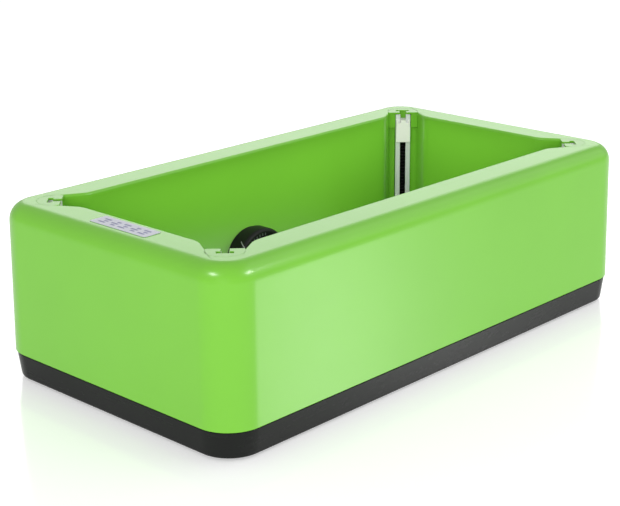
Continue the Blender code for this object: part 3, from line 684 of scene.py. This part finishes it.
def cut_finger_windows(piece, corners, look):
    """Opens the piece where the lock frames' fingers pass through it."""
    tools = []
    for sx, sy in corners:
        low_x, high_x = sorted(sx * x for x in WINDOW_X)
        low_y, high_y = sorted(sy * y for y in WINDOW_Y)
        tools.append(box((low_x, low_y, WINDOW_Z[0]), (high_x, high_y, WINDOW_Z[1])))
    cut(piece, add_piece("window_tool", join(tools), look))


# ---------------------------------------------------------------- shell and base


def mirrored_ring(end_middle, corner, side_middle, z):
    first = [end_middle, *corner]
    second = [side_middle, *[(-x, y) for x, y in reversed(corner)]]
    half = first + second
    return [(x, y, z) for x, y in half + [(-x, -y) for x, y in half]]


def flare(wall_at, grow):
    slope = Vector((math.sin(FLARE_ANGLE), math.cos(FLARE_ANGLE)))
    outward = Vector((slope.y, -slope.x))
    edge_across = math.sqrt(ALCOVE_R**2 - ALCOVE_DEEP**2)
    half = math.sqrt(0.5)
    edge = Vector((CORNER_X + edge_across * half, CORNER_Y - edge_across * half))
    edge += outward * grow
    radius = FLARE_R - grow
    bend_y = edge.y - (edge.x - wall_at) / math.tan(FLARE_ANGLE)
    centre = Vector((wall_at + radius, bend_y - radius * math.tan(FLARE_ANGLE / 2)))
    angles = [FLARE_ANGLE * i / FLARE_STEPS for i in range(FLARE_STEPS + 1)]
    points = [centre + radius * Vector((-math.cos(a), math.sin(a))) for a in angles]
    return points, edge, slope


def alcove_corner(end_wall, side_wall, grow, alcove_grow, channel=None):
    """The (+X, +Y) quarter of a well outline, without its two middles.

    With half a channel's outline, that stands in for the alcove's arc, point for point."""
    half = math.sqrt(0.5)
    centre = Vector((CORNER_X, CORNER_Y)) + Vector((half, half)) * ALCOVE_DEEP
    radius = ALCOVE_R + alcove_grow
    end_points, edge, slope = flare(end_wall, grow)
    reach = (edge - centre).dot(slope)
    apart = (edge - centre).length_squared - radius**2
    meet = edge + slope * (-reach - math.sqrt(max(reach**2 - apart, 0.0)))
    start = math.atan2(meet.y - centre.y, meet.x - centre.x)
    sweep = 2 * (math.pi / 4 - start)
    arc = [
        centre + radius * Vector((math.cos(a), math.sin(a)))
        for a in (start + sweep * i / ALCOVE_STEPS for i in range(ALCOVE_STEPS + 1))
    ]
    if channel:
        one_side = [(across * MM, deep * MM) for across, deep in channel]
        outline = one_side + [(-across, deep) for across, deep in reversed(one_side[:-1])]
        to_plan = at_corner(1, 1)
        for i, (across, deep) in enumerate(outline):
            arc[i + 1] = Vector(to_plan(-across, deep, 0.0)[:2])
    shift = CORNER_Y - CORNER_X
    side_points, _, _ = flare(side_wall - shift, grow)
    side_points = [Vector((p.y - shift, p.x + shift)) for p in reversed(side_points)]
    return [tuple(p) for p in [*end_points, *arc, *side_points]]


def well_ring(z, grow=0.0, alcove_grow=None, channel=None):
    drop = WELL_DRAFT * (RIM_Z - z)
    end_wall = CORNER_X - drop + grow
    side_wall = CORNER_Y - drop + grow
    corner = alcove_corner(
        end_wall, side_wall, grow, grow if alcove_grow is None else alcove_grow, channel
    )
    return mirrored_ring((end_wall, 0.0), corner, (0.0, side_wall), z)


def outer_ring(z, inset=0.0):
    grow = OUTER_DRAFT * (RIM_Z - z) - inset
    half_x = RIM_LENGTH / 2 + grow
    half_y = RIM_WIDTH / 2 + grow
    radius = OUTER_CORNER_R + min(grow, 0.0)
    cx, cy = half_x - radius, half_y - radius
    steps_back = [(FLARE_STEPS + 1 - i) * 2 * MM for i in range(FLARE_STEPS + 1)]
    corner = [(half_x, cy - back) for back in steps_back]
    for i in range(ALCOVE_STEPS + 1):
        angle = math.pi / 2 * i / ALCOVE_STEPS
        corner.append((cx + radius * math.cos(angle), cy + radius * math.sin(angle)))
    corner += [(cx - back, half_y) for back in reversed(steps_back)]
    return mirrored_ring((half_x, 0.0), corner, (0.0, half_y), z)


def cut_bush_hole(shell):
    """Opens the rear well wall where the knob's bush passes through it."""
    centre = middle_of("lock_knob")
    hole = circle(BUSH_HOLE_R, 32, (centre.x, centre.z))
    reach = 6 * MM
    tool = prism(hole, CORNER_Y - reach, CORNER_Y + reach, upright)
    cut(shell, add_piece("bush_tool", tool, "green"))


def rounded_rim_rings(steps=12):
    rings = []
    for i in range(steps + 1):
        angle = math.pi / 2 * i / steps
        drop = RIM_FILLET * (1 - math.sin(angle))
        rings.append(outer_ring(RIM_Z - drop, inset=RIM_FILLET * (1 - math.cos(angle))))
    return rings


def rounded_well_edge_rings(steps=5):
    rings = []
    for i in range(steps + 1):
        angle = math.pi / 2 * (1 - i / steps)
        drop = WELL_EDGE_R * (1 - math.sin(angle))
        grow = WELL_EDGE_R * (1 - math.cos(angle))
        rings.append(well_ring(RIM_Z - drop, grow, alcove_grow=0.0))
    return rings


def make_shell():
    """One closed skin: up the outside, over the rim, down the well, and back up inside."""
    rings = [outer_ring(SEAM_Z, SEAM_BEVEL), outer_ring(SEAM_Z + SEAM_BEVEL)]
    rings.append(outer_ring(SEAM_Z + 4 * MM))
    rings.append(outer_ring(RIM_Z - RIM_FILLET - 2 * MM))
    rings += rounded_rim_rings()
    rings += rounded_well_edge_rings()
    rings.append(well_ring(RIM_Z - 6 * MM))
    rings.append(well_ring(LEDGE_Z))
    rings.append(well_ring(LEDGE_Z - 0.3 * MM, channel=CHANNEL_HALF))
    rings.append(well_ring(LEDGE_Z - 4 * MM, channel=CHANNEL_HALF))
    rings.append(well_ring(WELL_BOTTOM_Z, channel=CHANNEL_HALF))
    rings.append(well_ring(WELL_BOTTOM_Z, grow=INNER_WALL, channel=CHANNEL_OUTSIDE_HALF))
    under_ledge = LEDGE_Z - INNER_WALL
    rings.append(well_ring(under_ledge, grow=INNER_WALL, channel=CHANNEL_OUTSIDE_HALF))
    rings.append(well_ring(under_ledge + 0.3 * MM, grow=INNER_WALL))
    rings.append(well_ring(RIM_Z - RIM_WALL, grow=INNER_WALL))
    rings.append(outer_ring(RIM_Z - RIM_WALL, inset=RIM_FILLET))
    rings.append(outer_ring(RIM_Z - RIM_FILLET, inset=OUTER_WALL))
    rings.append(outer_ring(SEAM_Z, inset=OUTER_WALL))
    shell = add_piece("shell_moulding", loft(rings, loop=True), "green")
    cut_finger_windows(shell, CORNERS.values(), "green")
    cut_bush_hole(shell)
    even_normals(shell)
    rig.ride(shell, "housing")
    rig.replaces(shell, "outer_shell")
    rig.slot(shell, "green_abs")


def plain_ring(z, grow):
    half_x = RIM_LENGTH / 2 + grow
    half_y = RIM_WIDTH / 2 + grow
    radius = OUTER_CORNER_R + grow
    cx, cy = half_x - radius, half_y - radius
    ring = []
    for quarter, (sx, sy) in enumerate([(1, 1), (-1, 1), (-1, -1), (1, -1)]):
        for i in range(BASE_CORNER_STEPS + 1):
            angle = math.pi / 2 * (quarter + i / BASE_CORNER_STEPS)
            ring.append(
                (sx * cx + radius * math.cos(angle), sy * cy + radius * math.sin(angle), z)
            )
    return ring


def make_base():
    top_grow = OUTER_DRAFT * (RIM_Z - SEAM_Z) - BASE_INSET_TOP
    low_grow = top_grow - BASE_TAPER
    lip_grow = top_grow + BASE_INSET_TOP - OUTER_WALL - FIT_GAP
    rings = []
    for i in range(5):
        angle = math.pi / 2 * i / 4
        rings.append(
            plain_ring(
                BASE_BOTTOM_Z + BASE_FOOT_R * (1 - math.cos(angle)),
                low_grow - BASE_FOOT_R * (1 - math.sin(angle)),
            )
        )
    seam = SEAM_Z - FIT_GAP
    rings.append(plain_ring(seam - 0.4 * MM, top_grow))
    rings.append(plain_ring(seam, top_grow - 0.4 * MM))
    rings.append(plain_ring(seam, lip_grow))
    rings.append(plain_ring(SEAM_Z + LIP_HEIGHT, lip_grow))
    rings.append(plain_ring(SEAM_Z + LIP_HEIGHT, lip_grow - LIP_WALL))
    rings.append(plain_ring(FLOOR_Z, lip_grow - LIP_WALL))
    base = add_piece("base_moulding", loft(rings), "charcoal")
    even_normals(base)
    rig.ride(base, "housing")
    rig.replaces(base, "base_tray")
    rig.slot(base, "charcoal_abs")


# ---------------------------------------------------------------- corner pieces


def make_cap(corner, place):
    radius = ALCOVE_R - CAP_GAP
    half_chord = math.sqrt(radius**2 - ALCOVE_DEEP**2)
    start = math.atan2(-ALCOVE_DEEP, half_chord)
    sweep = math.pi - 2 * start
    steps = 64
    disc = [
        (
            radius * math.cos(start + sweep * i / steps),
            ALCOVE_DEEP + radius * math.sin(start + sweep * i / steps),
        )
        for i in range(steps + 1)
    ]
    t_slot = [
        (-SLOT_MOUTH_HALF, 0.0),
        (-SLOT_MOUTH_HALF, SLOT_BAR_FROM),
        (-SLOT_BAR_HALF, SLOT_BAR_FROM),
        (-SLOT_BAR_HALF, SLOT_BAR_TO),
    ]
    t_slot += [(-a, b) for a, b in reversed(t_slot)]
    socket_half, socket_back = RAIL_HALF + FIT_GAP, RAIL_BACK + FIT_GAP
    socket = [(-socket_half, 0.0), (-socket_half, socket_back)]
    socket += [(-a, b) for a, b in reversed(socket)]
    plate = prism(disc + t_slot, RIM_Z - CAP_PLATE, RIM_Z, place)
    skirt = prism(disc + socket, RIM_Z - CAP_HEIGHT, RIM_Z - CAP_PLATE, place)
    tongue = box(
        (-RAIL_SLOT_HALF - MM, LINER_FRONT, RIM_Z - CAP_HEIGHT),
        (RAIL_SLOT_HALF + MM, LINER_FRONT + LINER_SHEET, RIM_Z - CAP_PLATE),
        place,
    )
    cap = add_piece(f"cap_moulding_{corner}", join([plate, skirt, tongue]), "green")
    soften(cap, 0.35 * MM, 3)
    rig.ride(cap, "housing")
    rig.replaces(cap, f"cap_{corner}")
    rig.slot(cap, "green_abs")


def make_rail(corner, place):
    low, high = (v.z for v in map(Vector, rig.box(f"rail_{corner}")))
    front, back = RAIL_FRONT, RAIL_BACK
    inner_half = RAIL_HALF - RAIL_SIDE
    lip_back = front + RAIL_FLANGE
    half = [
        (RAIL_SLOT_HALF, front),
        (RAIL_HALF, front),
        (RAIL_HALF, back),
    ]
    inner = [
        (inner_half, back - RAIL_WEB),
        (inner_half, lip_back),
        (RAIL_SLOT_HALF, lip_back),
    ]
    mirrored = [(-a, b) for a, b in reversed(half)]
    mirrored_inner = [(-a, b) for a, b in reversed(inner)]
    outline = half + mirrored + mirrored_inner + inner
    rail = add_piece(f"rail_extrusion_{corner}", prism(outline, low, high, place), "aluminium")
    cut_finger_windows(rail, [CORNERS[corner]], "aluminium")
    soften(rail, 0.22 * MM, 2)
    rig.ride(rail, "housing")
    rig.replaces(rail, f"rail_{corner}")
    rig.slot(rail, "rail_aluminium")


def make_liner(corner, place):
    """The black strip behind the spring, up to the green tongue of the cap."""
    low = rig.box(f"rail_liner_{corner}")[0][2]
    half = RAIL_HALF - RAIL_SIDE - FIT_GAP
    strip = box(
        (-half, LINER_FRONT, low),
        (half, LINER_FRONT + LINER_SHEET, RIM_Z - CAP_HEIGHT - FIT_GAP),
        place,
    )
    liner = add_piece(f"liner_strip_{corner}", strip, "black")
    cut_finger_windows(liner, [CORNERS[corner]], "black")
    soften(liner, 0.15 * MM)
    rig.ride(liner, "housing")
    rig.replaces(liner, f"rail_liner_{corner}")
    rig.slot(liner, "knob_black")


def make_slider(corner, place):
    low, high = (v.z for v in map(Vector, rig.box(f"slider_{corner}")))
    plate_half, neck_half = RAIL_HALF - 0.2 * MM, RAIL_SLOT_HALF - FIT_GAP
    body_half = RAIL_HALF - RAIL_SIDE - FIT_GAP
    plate_back = RAIL_FRONT - FIT_GAP
    body_front = RAIL_FRONT + RAIL_FLANGE + FIT_GAP
    body_back = LINER_FRONT - FIT_GAP
    notch_in, notch_out = NOTCH_ACROSS
    shoulder = high - SHOULDER_DROP
    notch_floor = high - NOTCH_DROP
    right = [
        (plate_half, low),
        (plate_half, shoulder),
        (plate_half - SHOULDER_STEP, shoulder + SHOULDER_STEP),
        (plate_half - SHOULDER_STEP, high),
        (notch_out, high),
        (notch_out, notch_floor),
        (notch_in, notch_floor),
        (notch_in, high),
    ]
    face = right + [(-a, b) for a, b in reversed(right)]

    def facing_well(a, b, c):
        return place(a, c, b)

    plate = prism(face, -SLIDER_PLATE, plate_back, facing_well)
    overlap = 0.2 * MM
    neck = box(
        (-neck_half, plate_back - overlap, low),
        (neck_half, body_front + overlap, high),
        place,
    )
    body = box((-body_half, body_front, low), (body_half, body_back, high), place)
    slider = add_piece(f"slider_moulding_{corner}", join([plate, neck, body]), "white")
    soften(slider, 0.4 * MM, 3)
    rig.ride(slider, f"slider_{corner}_body")
    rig.replaces(slider, f"slider_{corner}")
    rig.slot(slider, "slider_white")


def make_spring(corner, place):
    plug_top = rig.box(f"rail_plug_{corner}")[1][2]
    slider_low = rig.box(f"slider_{corner}")[0][2]
    middle = (RAIL_FRONT + RAIL_FLANGE + LINER_FRONT) / 2
    low, high = plug_top + FIT_GAP + SPRING_WIRE_R, slider_low - FIT_GAP - SPRING_WIRE_R
    sides, ring_sides = 20, 8
    steps = sides * SPRING_TURNS
    rings = []
    for i in range(steps + 1):
        angle = 2 * math.pi * i / sides
        z = low + (high - low) * i / steps
        ring = []
        for k in range(ring_sides):
            turn = 2 * math.pi * k / ring_sides
            radius = SPRING_R + SPRING_WIRE_R * math.cos(turn)
            point = (
                radius * math.cos(angle),
                middle + radius * math.sin(angle),
                z + SPRING_WIRE_R * math.sin(turn),
            )
            ring.append(place(*point))
        rings.append(ring)
    spring = add_piece(f"spring_coil_{corner}", loft(rings), "spring", math.radians(80))
    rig.blend(
        spring,
        "housing",
        f"slider_{corner}_body",
        start=place(0.0, middle, low),
        end=place(0.0, middle, high),
    )
    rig.replaces(spring, f"spring_{corner}")
    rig.slot(spring, "spring_black")


# ---------------------------------------------------------------- knob, label, feet, screws


def turned(profile, steps, centre):
    """A solid turned about a line along Y through centre, from (radius, y) points."""
    bm = bmesh.new()
    loops = []
    for radius, y in profile:
        if radius == 0:
            loops.append([bm.verts.new((centre[0], centre[1] + y, centre[2]))])
        else:
            loops.append(
                [
                    bm.verts.new((centre[0] + x, centre[1] + y, centre[2] + z))
                    for x, z in circle(radius, steps)
                ]
            )
    for one, two in zip(loops, loops[1:]):
        for i in range(steps):
            j = (i + 1) % steps
            if len(one) == 1:
                bm.faces.new((one[0], two[j], two[i]))
            elif len(two) == 1:
                bm.faces.new((one[i], one[j], two[0]))
            else:
                bm.faces.new((one[i], one[j], two[j], two[i]))
    return bm


def arc_points(centre, radius, start, end, steps):
    return [
        (
            centre[0] + radius * math.cos(start + (end - start) * i / steps),
            centre[1] + radius * math.sin(start + (end - start) * i / steps),
        )
        for i in range(steps + 1)
    ]


def rounded_edge(radius, edge, front, steps, first=0):
    """Profile points round a turned piece's front edge."""
    angles = [math.pi / 2 * i / steps for i in range(first, steps + 1)]
    return [
        (radius - edge + edge * math.sin(a), front + edge * (1 - math.cos(a))) for a in angles
    ]


def add_to_knob(name, bm, look):
    piece = add_piece(name, bm, look)
    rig.ride(piece, "knob_body")
    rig.slot(piece, "knob_black")
    return piece


def make_knob():
    """The knob's turned body and dished face, its grip bar, and light grey painted highlights on its face and rounded
    side.
    """
    middle = middle_of("lock_knob")
    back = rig.box("lock_knob")[1][1]
    front = back - KNOB_DEPTH
    centre = (middle.x, 0.0, middle.z)

    def facing(a, b, c):
        return (centre[0] + a, c, centre[2] + b)

    dish = [(9, 1.2), (8.2, 1.0), (6.4, 0.1), (5.6, 0.0)]
    profile = [(0.0, front + dish[0][1] * MM)]
    profile += [(KNOB_R - inset * MM, front + depth * MM) for inset, depth in dish]
    profile += rounded_edge(KNOB_R, KNOB_EDGE_R, front, steps=8)
    profile += [(KNOB_R, back - 0.5 * MM), (KNOB_R - 0.5 * MM, back), (0.0, back)]
    knob = add_to_knob("knob_moulding", turned(profile, 128, centre), "black")
    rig.replaces(knob, "lock_knob")

    reach = KNOB_R - 7 * MM - KNOB_GRIP_HALF
    outline = arc_points((0.0, reach), KNOB_GRIP_HALF, 0.0, math.pi, 12)
    outline += arc_points((0.0, -reach), KNOB_GRIP_HALF, math.pi, 2 * math.pi, 12)
    grip_bar = prism(outline, front - 1.5 * MM, front + 2 * MM, facing)
    soften(add_to_knob("knob_grip", grip_bar, "black"), 0.8 * MM, 4)

    face = [(0.0, 0.95), (12 * MM, 0.95), (KNOB_R - 10 * MM, 0.95), (KNOB_R - 9.2 * MM, 1.15)]
    disc = turned([(radius, front + depth * MM) for radius, depth in face], 96, centre)
    add_to_knob("knob_face_disc", disc, "knob_face")

    # Painted highlights where the knob's edge catches the light: an arc of grey ticks on the face and a grey line over
    # the rounded side.
    bars = [ring_highlight_tick(84 + 8 * i, front, facing) for i in range(7)]
    add_to_knob("knob_scale", join(bars), "faint_mark")
    add_to_knob("knob_pointer", edge_highlight_strip(front, facing), "mark")


def ring_highlight_tick(degrees, front, place):
    """One light grey tick of a painted highlight on the knob's front, near its edge."""
    inner, outer, half_width = KNOB_R - 5.2 * MM, KNOB_R - 3.2 * MM, 0.5 * MM
    angle = math.radians(degrees)
    axis = Vector((math.cos(angle), math.sin(angle)))
    side = Vector((-axis.y, axis.x)) * half_width
    corners = [axis * inner - side, axis * outer - side]
    corners += [axis * outer + side, axis * inner + side]
    return prism([tuple(p) for p in corners], front - 0.05 * MM, front + 0.9 * MM, place)


def edge_highlight_strip(front, place):
    """A painted highlight: a light grey line over the knob's rounded side, between the two ends set with the knob's
    sizes.

    Each end is an angle in degrees and a depth behind the knob's front."""

    def on_side(degrees, depth, lift):
        into = max(0.0, KNOB_EDGE_R - depth)
        radius = KNOB_R - KNOB_EDGE_R + math.sqrt(KNOB_EDGE_R**2 - into**2) + lift
        angle = math.radians(degrees)
        return place(radius * math.cos(angle), radius * math.sin(angle), front + depth)

    proud, sunk = 0.06 * MM, -MM
    section = ((-1, proud), (1, proud), (1, sunk), (-1, sunk))
    steps = 12
    rings = []
    for i in range(steps + 1):
        degrees, depth = (a + (b - a) * i / steps for a, b in zip(EDGE_HIGHLIGHT_FROM, EDGE_HIGHLIGHT_TO))
        rings.append([on_side(degrees + lean, depth, lift) for lean, lift in section])
    return loft(rings)


def make_bezel():
    low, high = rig.box("knob_bezel")
    middle = middle_of("knob_bezel")
    centre = (middle.x, 0.0, middle.z)
    front = low[1]
    back = front + BEZEL_DEPTH
    profile = [(BEZEL_BORE_R, front), (BEZEL_R - BEZEL_EDGE_R, front)]
    profile += rounded_edge(BEZEL_R, BEZEL_EDGE_R, front, steps=5, first=1)
    profile += [(BEZEL_R, back), (BUSH_R, back), (BUSH_R, high[1]), (BEZEL_BORE_R, high[1])]
    profile.append(profile[0])
    bm = turned(profile, 128, centre)
    bmesh.ops.remove_doubles(bm, verts=bm.verts, dist=0.01 * MM)
    bezel = add_piece("bezel_moulding", bm, "black")
    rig.ride(bezel, "housing")
    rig.replaces(bezel, "knob_bezel")
    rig.slot(bezel, "knob_black")


def make_label():
    low, high = map(Vector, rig.box("instruction_label"))
    quarters = [
        (high.x - LABEL_CORNER_R, high.y - LABEL_CORNER_R),
        (low.x + LABEL_CORNER_R, high.y - LABEL_CORNER_R),
        (low.x + LABEL_CORNER_R, low.y + LABEL_CORNER_R),
        (high.x - LABEL_CORNER_R, low.y + LABEL_CORNER_R),
    ]
    outline = []
    for quarter, centre in enumerate(quarters):
        start = math.pi / 2 * quarter
        outline += arc_points(centre, LABEL_CORNER_R, start, start + math.pi / 2, 5)
    sticker = add_piece("label_sticker", prism(outline, low.z, high.z), "label")
    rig.ride(sticker, "housing")
    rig.replaces(sticker, "instruction_label")
    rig.slot(sticker, "label_white")

    print_piece = add_piece("label_print", join(print_bars(low, high)), "print")
    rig.ride(print_piece, "housing")
    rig.slot(print_piece, "label_white")


def print_bars(low, high):
    """Generic print: a row of blocks of thick and thin bars, which spell nothing."""
    bars = []
    pitch = PRINT_BLOCK + PRINT_GAP
    first = -(PRINT_BLOCKS * pitch - PRINT_GAP) / 2
    left, width = low.x + PRINT_MARGIN, high.x - low.x - 2 * PRINT_MARGIN
    for i in range(PRINT_BLOCKS):
        y = first + i * pitch
        for k in range(PRINT_ROWS):
            start = left + width * (k + 0.1) / PRINT_ROWS
            end = left + width * (k + 0.72) / PRINT_ROWS
            length = PRINT_BLOCK * (0.6 if (i + k) % 2 else 1.0)
            bars.append(
                box((start, y, high.z - PRINT_LIFT), (end, y + length, high.z + PRINT_LIFT))
            )
    return bars


def make_feet():
    for corner in CORNERS:
        low, high = map(Vector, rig.box(f"foot_{corner}"))
        middle = middle_of(f"foot_{corner}")
        radius = (high.x - low.x) / 2
        profile = [(radius - FOOT_FACE_INSET, 0.0)]
        profile += rounded_edge(radius, FOOT_EDGE_R, 0.0, steps=5)
        profile.append((radius, high.z))
        foot = add_piece(f"foot_pad_{corner}", upright_turned(profile, 48, middle), "rubber")
        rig.ride(foot, "housing")
        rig.replaces(foot, f"foot_{corner}")
        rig.slot(foot, "foot_rubber")


def upright_turned(profile, steps, middle):
    """A solid turned about an upright line through middle, from (radius, z) points."""
    return loft(
        [[(a, b, z) for a, b in circle(radius, steps, middle[:2])] for radius, z in profile]
    )


def screw_profile(low, high):
    profile = [
        (SCREW_HEAD_R - 0.6 * MM, low),
        (SCREW_HEAD_R - 0.15 * MM, low + 0.25 * MM),
        (SCREW_HEAD_R, low + 0.7 * MM),
        (SCREW_HEAD_R, SCREW_HEAD_TOP_Z),
        (SCREW_SHANK_R, SCREW_HEAD_TOP_Z),
    ]
    start, end = SCREW_HEAD_TOP_Z + 1.5 * MM, high - 2 * MM
    pitch = (end - start) / SCREW_THREADS
    root_r, tip_r = SCREW_SHANK_R * 0.8, 0.3 * MM
    for i in range(SCREW_THREADS):
        z = start + pitch * i
        profile += [(root_r, z), (SCREW_SHANK_R, z + pitch / 2)]
    return [*profile, (root_r, end), (tip_r, high)]


def make_screws():
    for node in sorted(n for n in frame["nodes"] if n.startswith("base_screw_")):
        low, high = map(Vector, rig.box(node))
        middle = middle_of(node)
        name = f"screw_{node.removeprefix('base_screw_')}"
        screw = add_piece(name, upright_turned(screw_profile(low.z, high.z), 24, middle), "zinc")
        for half_x, half_y in (CROSS_HALF, CROSS_HALF[::-1]):
            slot = box(
                (middle.x - half_x, middle.y - half_y, low.z - MM),
                (middle.x + half_x, middle.y + half_y, low.z + CROSS_DEPTH),
            )
            cut(screw, add_piece("cross_tool", slot, "zinc"))
        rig.ride(screw, "housing")
        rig.replaces(screw, node)
        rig.slot(screw, "zinc_steel")


# ---------------------------------------------------------------- stage, light, camera


def make_stage():
    bm = bmesh.new()
    bmesh.ops.create_circle(bm, cap_ends=True, segments=96, radius=FLOOR_RADIUS)
    floor_piece = add_piece("studio_floor", bm, "floor")
    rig.stage(floor_piece)

    world = bpy.data.worlds.new("studio_world")
    world.use_nodes = True
    background = world.node_tree.nodes["Background"]
    background.inputs["Color"].default_value = (1.0, 1.0, 1.0, 1.0)
    background.inputs["Strength"].default_value = SKY_STRENGTH
    bpy.context.scene.world = world


def add_light(name, azimuth, elevation, distance, size, radiance, target=LIGHT_TARGET):
    """A rectangular light aimed at the target.

    Azimuth is from +X and in degrees, as elevation is; size is (width, height)."""
    data = bpy.data.lights.new(name, "AREA")
    data.shape = "RECTANGLE"
    data.size, data.size_y = size
    data.energy = radiance * size[0] * size[1] * math.pi
    lamp = bpy.data.objects.new(name, data)
    a, e = math.radians(azimuth), math.radians(elevation)
    direction = Vector((math.cos(e) * math.cos(a), math.cos(e) * math.sin(a), math.sin(e)))
    lamp.location = direction * distance + Vector(target)
    lamp.rotation_euler = direction.to_track_quat("Z", "Y").to_euler()
    lamp.visible_camera = False
    bpy.context.scene.collection.objects.link(lamp)
    return lamp


def link_bounce(lamp, piece_name):
    """Lets a light under the floor stand for the floor's own glow on one moulding."""
    lamp.data.cycles.use_multiple_importance_sampling = False
    lit = bpy.data.collections.new(f"lit_by_{lamp.name}")
    lit.objects.link(bpy.data.objects[piece_name])
    lamp.light_linking.receiver_collection = lit
    lamp.light_linking.blocker_collection = lit


def make_soft_lights():
    """The front key, which shows in no reflection, and the panels that the rim reflects."""
    key = add_light(
        "front_softbox", azimuth=-145.0, elevation=12.0, distance=2.2, size=(1.2, 0.9), radiance=7.4
    )
    key.visible_glossy = False
    add_light(
        "side_softbox", azimuth=-40.0, elevation=38.0, distance=1.5, size=(1.6, 1.3), radiance=0.72
    )
    add_light(
        "rear_panel", azimuth=43.0, elevation=20.0, distance=3.0, size=(2.5, 1.2), radiance=1.55
    )


def make_glints():
    """Two small lights that only show as glints on the front left corner."""
    for name, azimuth, elevation, target in (
        ("glint_side", -56.7, 34.3, GLINT_SIDE),
        ("glint_end", 178.8, 44.6, GLINT_END),
    ):
        glint = add_light(name, azimuth, elevation, 0.5, (0.15, 0.06), 36.0, target)
        glint.visible_diffuse = False


def make_bounces():
    shell_bounce = add_light(
        "shell_bounce", azimuth=-51.0, elevation=-20.0, distance=1.5, size=(0.18, 0.55), radiance=6.6
    )
    link_bounce(shell_bounce, "shell_moulding")
    base_bounce = add_light(
        "base_bounce", azimuth=-46.5, elevation=-20.0, distance=1.5, size=(0.40, 0.55), radiance=12.5
    )
    link_bounce(base_bounce, "base_moulding")


def make_well_fill():
    """Light that falls into the well from the plane of the rim."""
    above_target = RIM_Z - LIGHT_TARGET[2] - MM
    fill = add_light(
        "well_fill", azimuth=0.0, elevation=90.0, distance=above_target, size=(0.33, 0.13), radiance=0.95
    )
    fill.rotation_euler = (0.0, 0.0, 0.0)
    fill.visible_glossy = False


def make_camera():
    a, e = math.radians(CAMERA_AZIMUTH), math.radians(CAMERA_ELEVATION)
    back = Vector((math.sin(a) * math.cos(e), -math.cos(a) * math.cos(e), math.sin(e)))
    right = (-back).cross(Vector((0.0, 0.0, 1.0))).normalized()
    up = right.cross(-back)
    roll = math.radians(CAMERA_ROLL)
    side = right * math.cos(roll) + up * math.sin(roll)
    rise = up * math.cos(roll) - right * math.sin(roll)
    place = back * CAMERA_DISTANCE + side * CAMERA_SIDE + rise * CAMERA_RISE
    place.z += CAMERA_TARGET_Z
    data = bpy.data.cameras.new("camera")
    data.lens = CAMERA_LENS
    data.sensor_width = 36.0
    camera = bpy.data.objects.new("camera", data)
    rotation = Matrix((side, rise, back)).transposed().to_4x4()
    camera.matrix_world = Matrix.Translation(place) @ rotation
    bpy.context.scene.collection.objects.link(camera)
    bpy.context.scene.camera = camera


def main():
    bpy.context.scene.view_settings.view_transform = "Standard"
    make_shell()
    make_base()
    for corner, (sx, sy) in CORNERS.items():
        place = at_corner(sx, sy)
        make_cap(corner, place)
        make_rail(corner, place)
        make_liner(corner, place)
        make_slider(corner, place)
        make_spring(corner, place)
    make_knob()
    make_bezel()
    make_label()
    make_feet()
    make_screws()
    make_stage()
    make_soft_lights()
    make_glints()
    make_bounces()
    make_well_fill()
    make_camera()


main()
with open("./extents.json", "w") as size_file:
    json.dump(
        {
            "cad": [list(corner) for corner in cad_bounds],
            "visual": [list(corner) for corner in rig.bounds()],
        },
        size_file,
    )
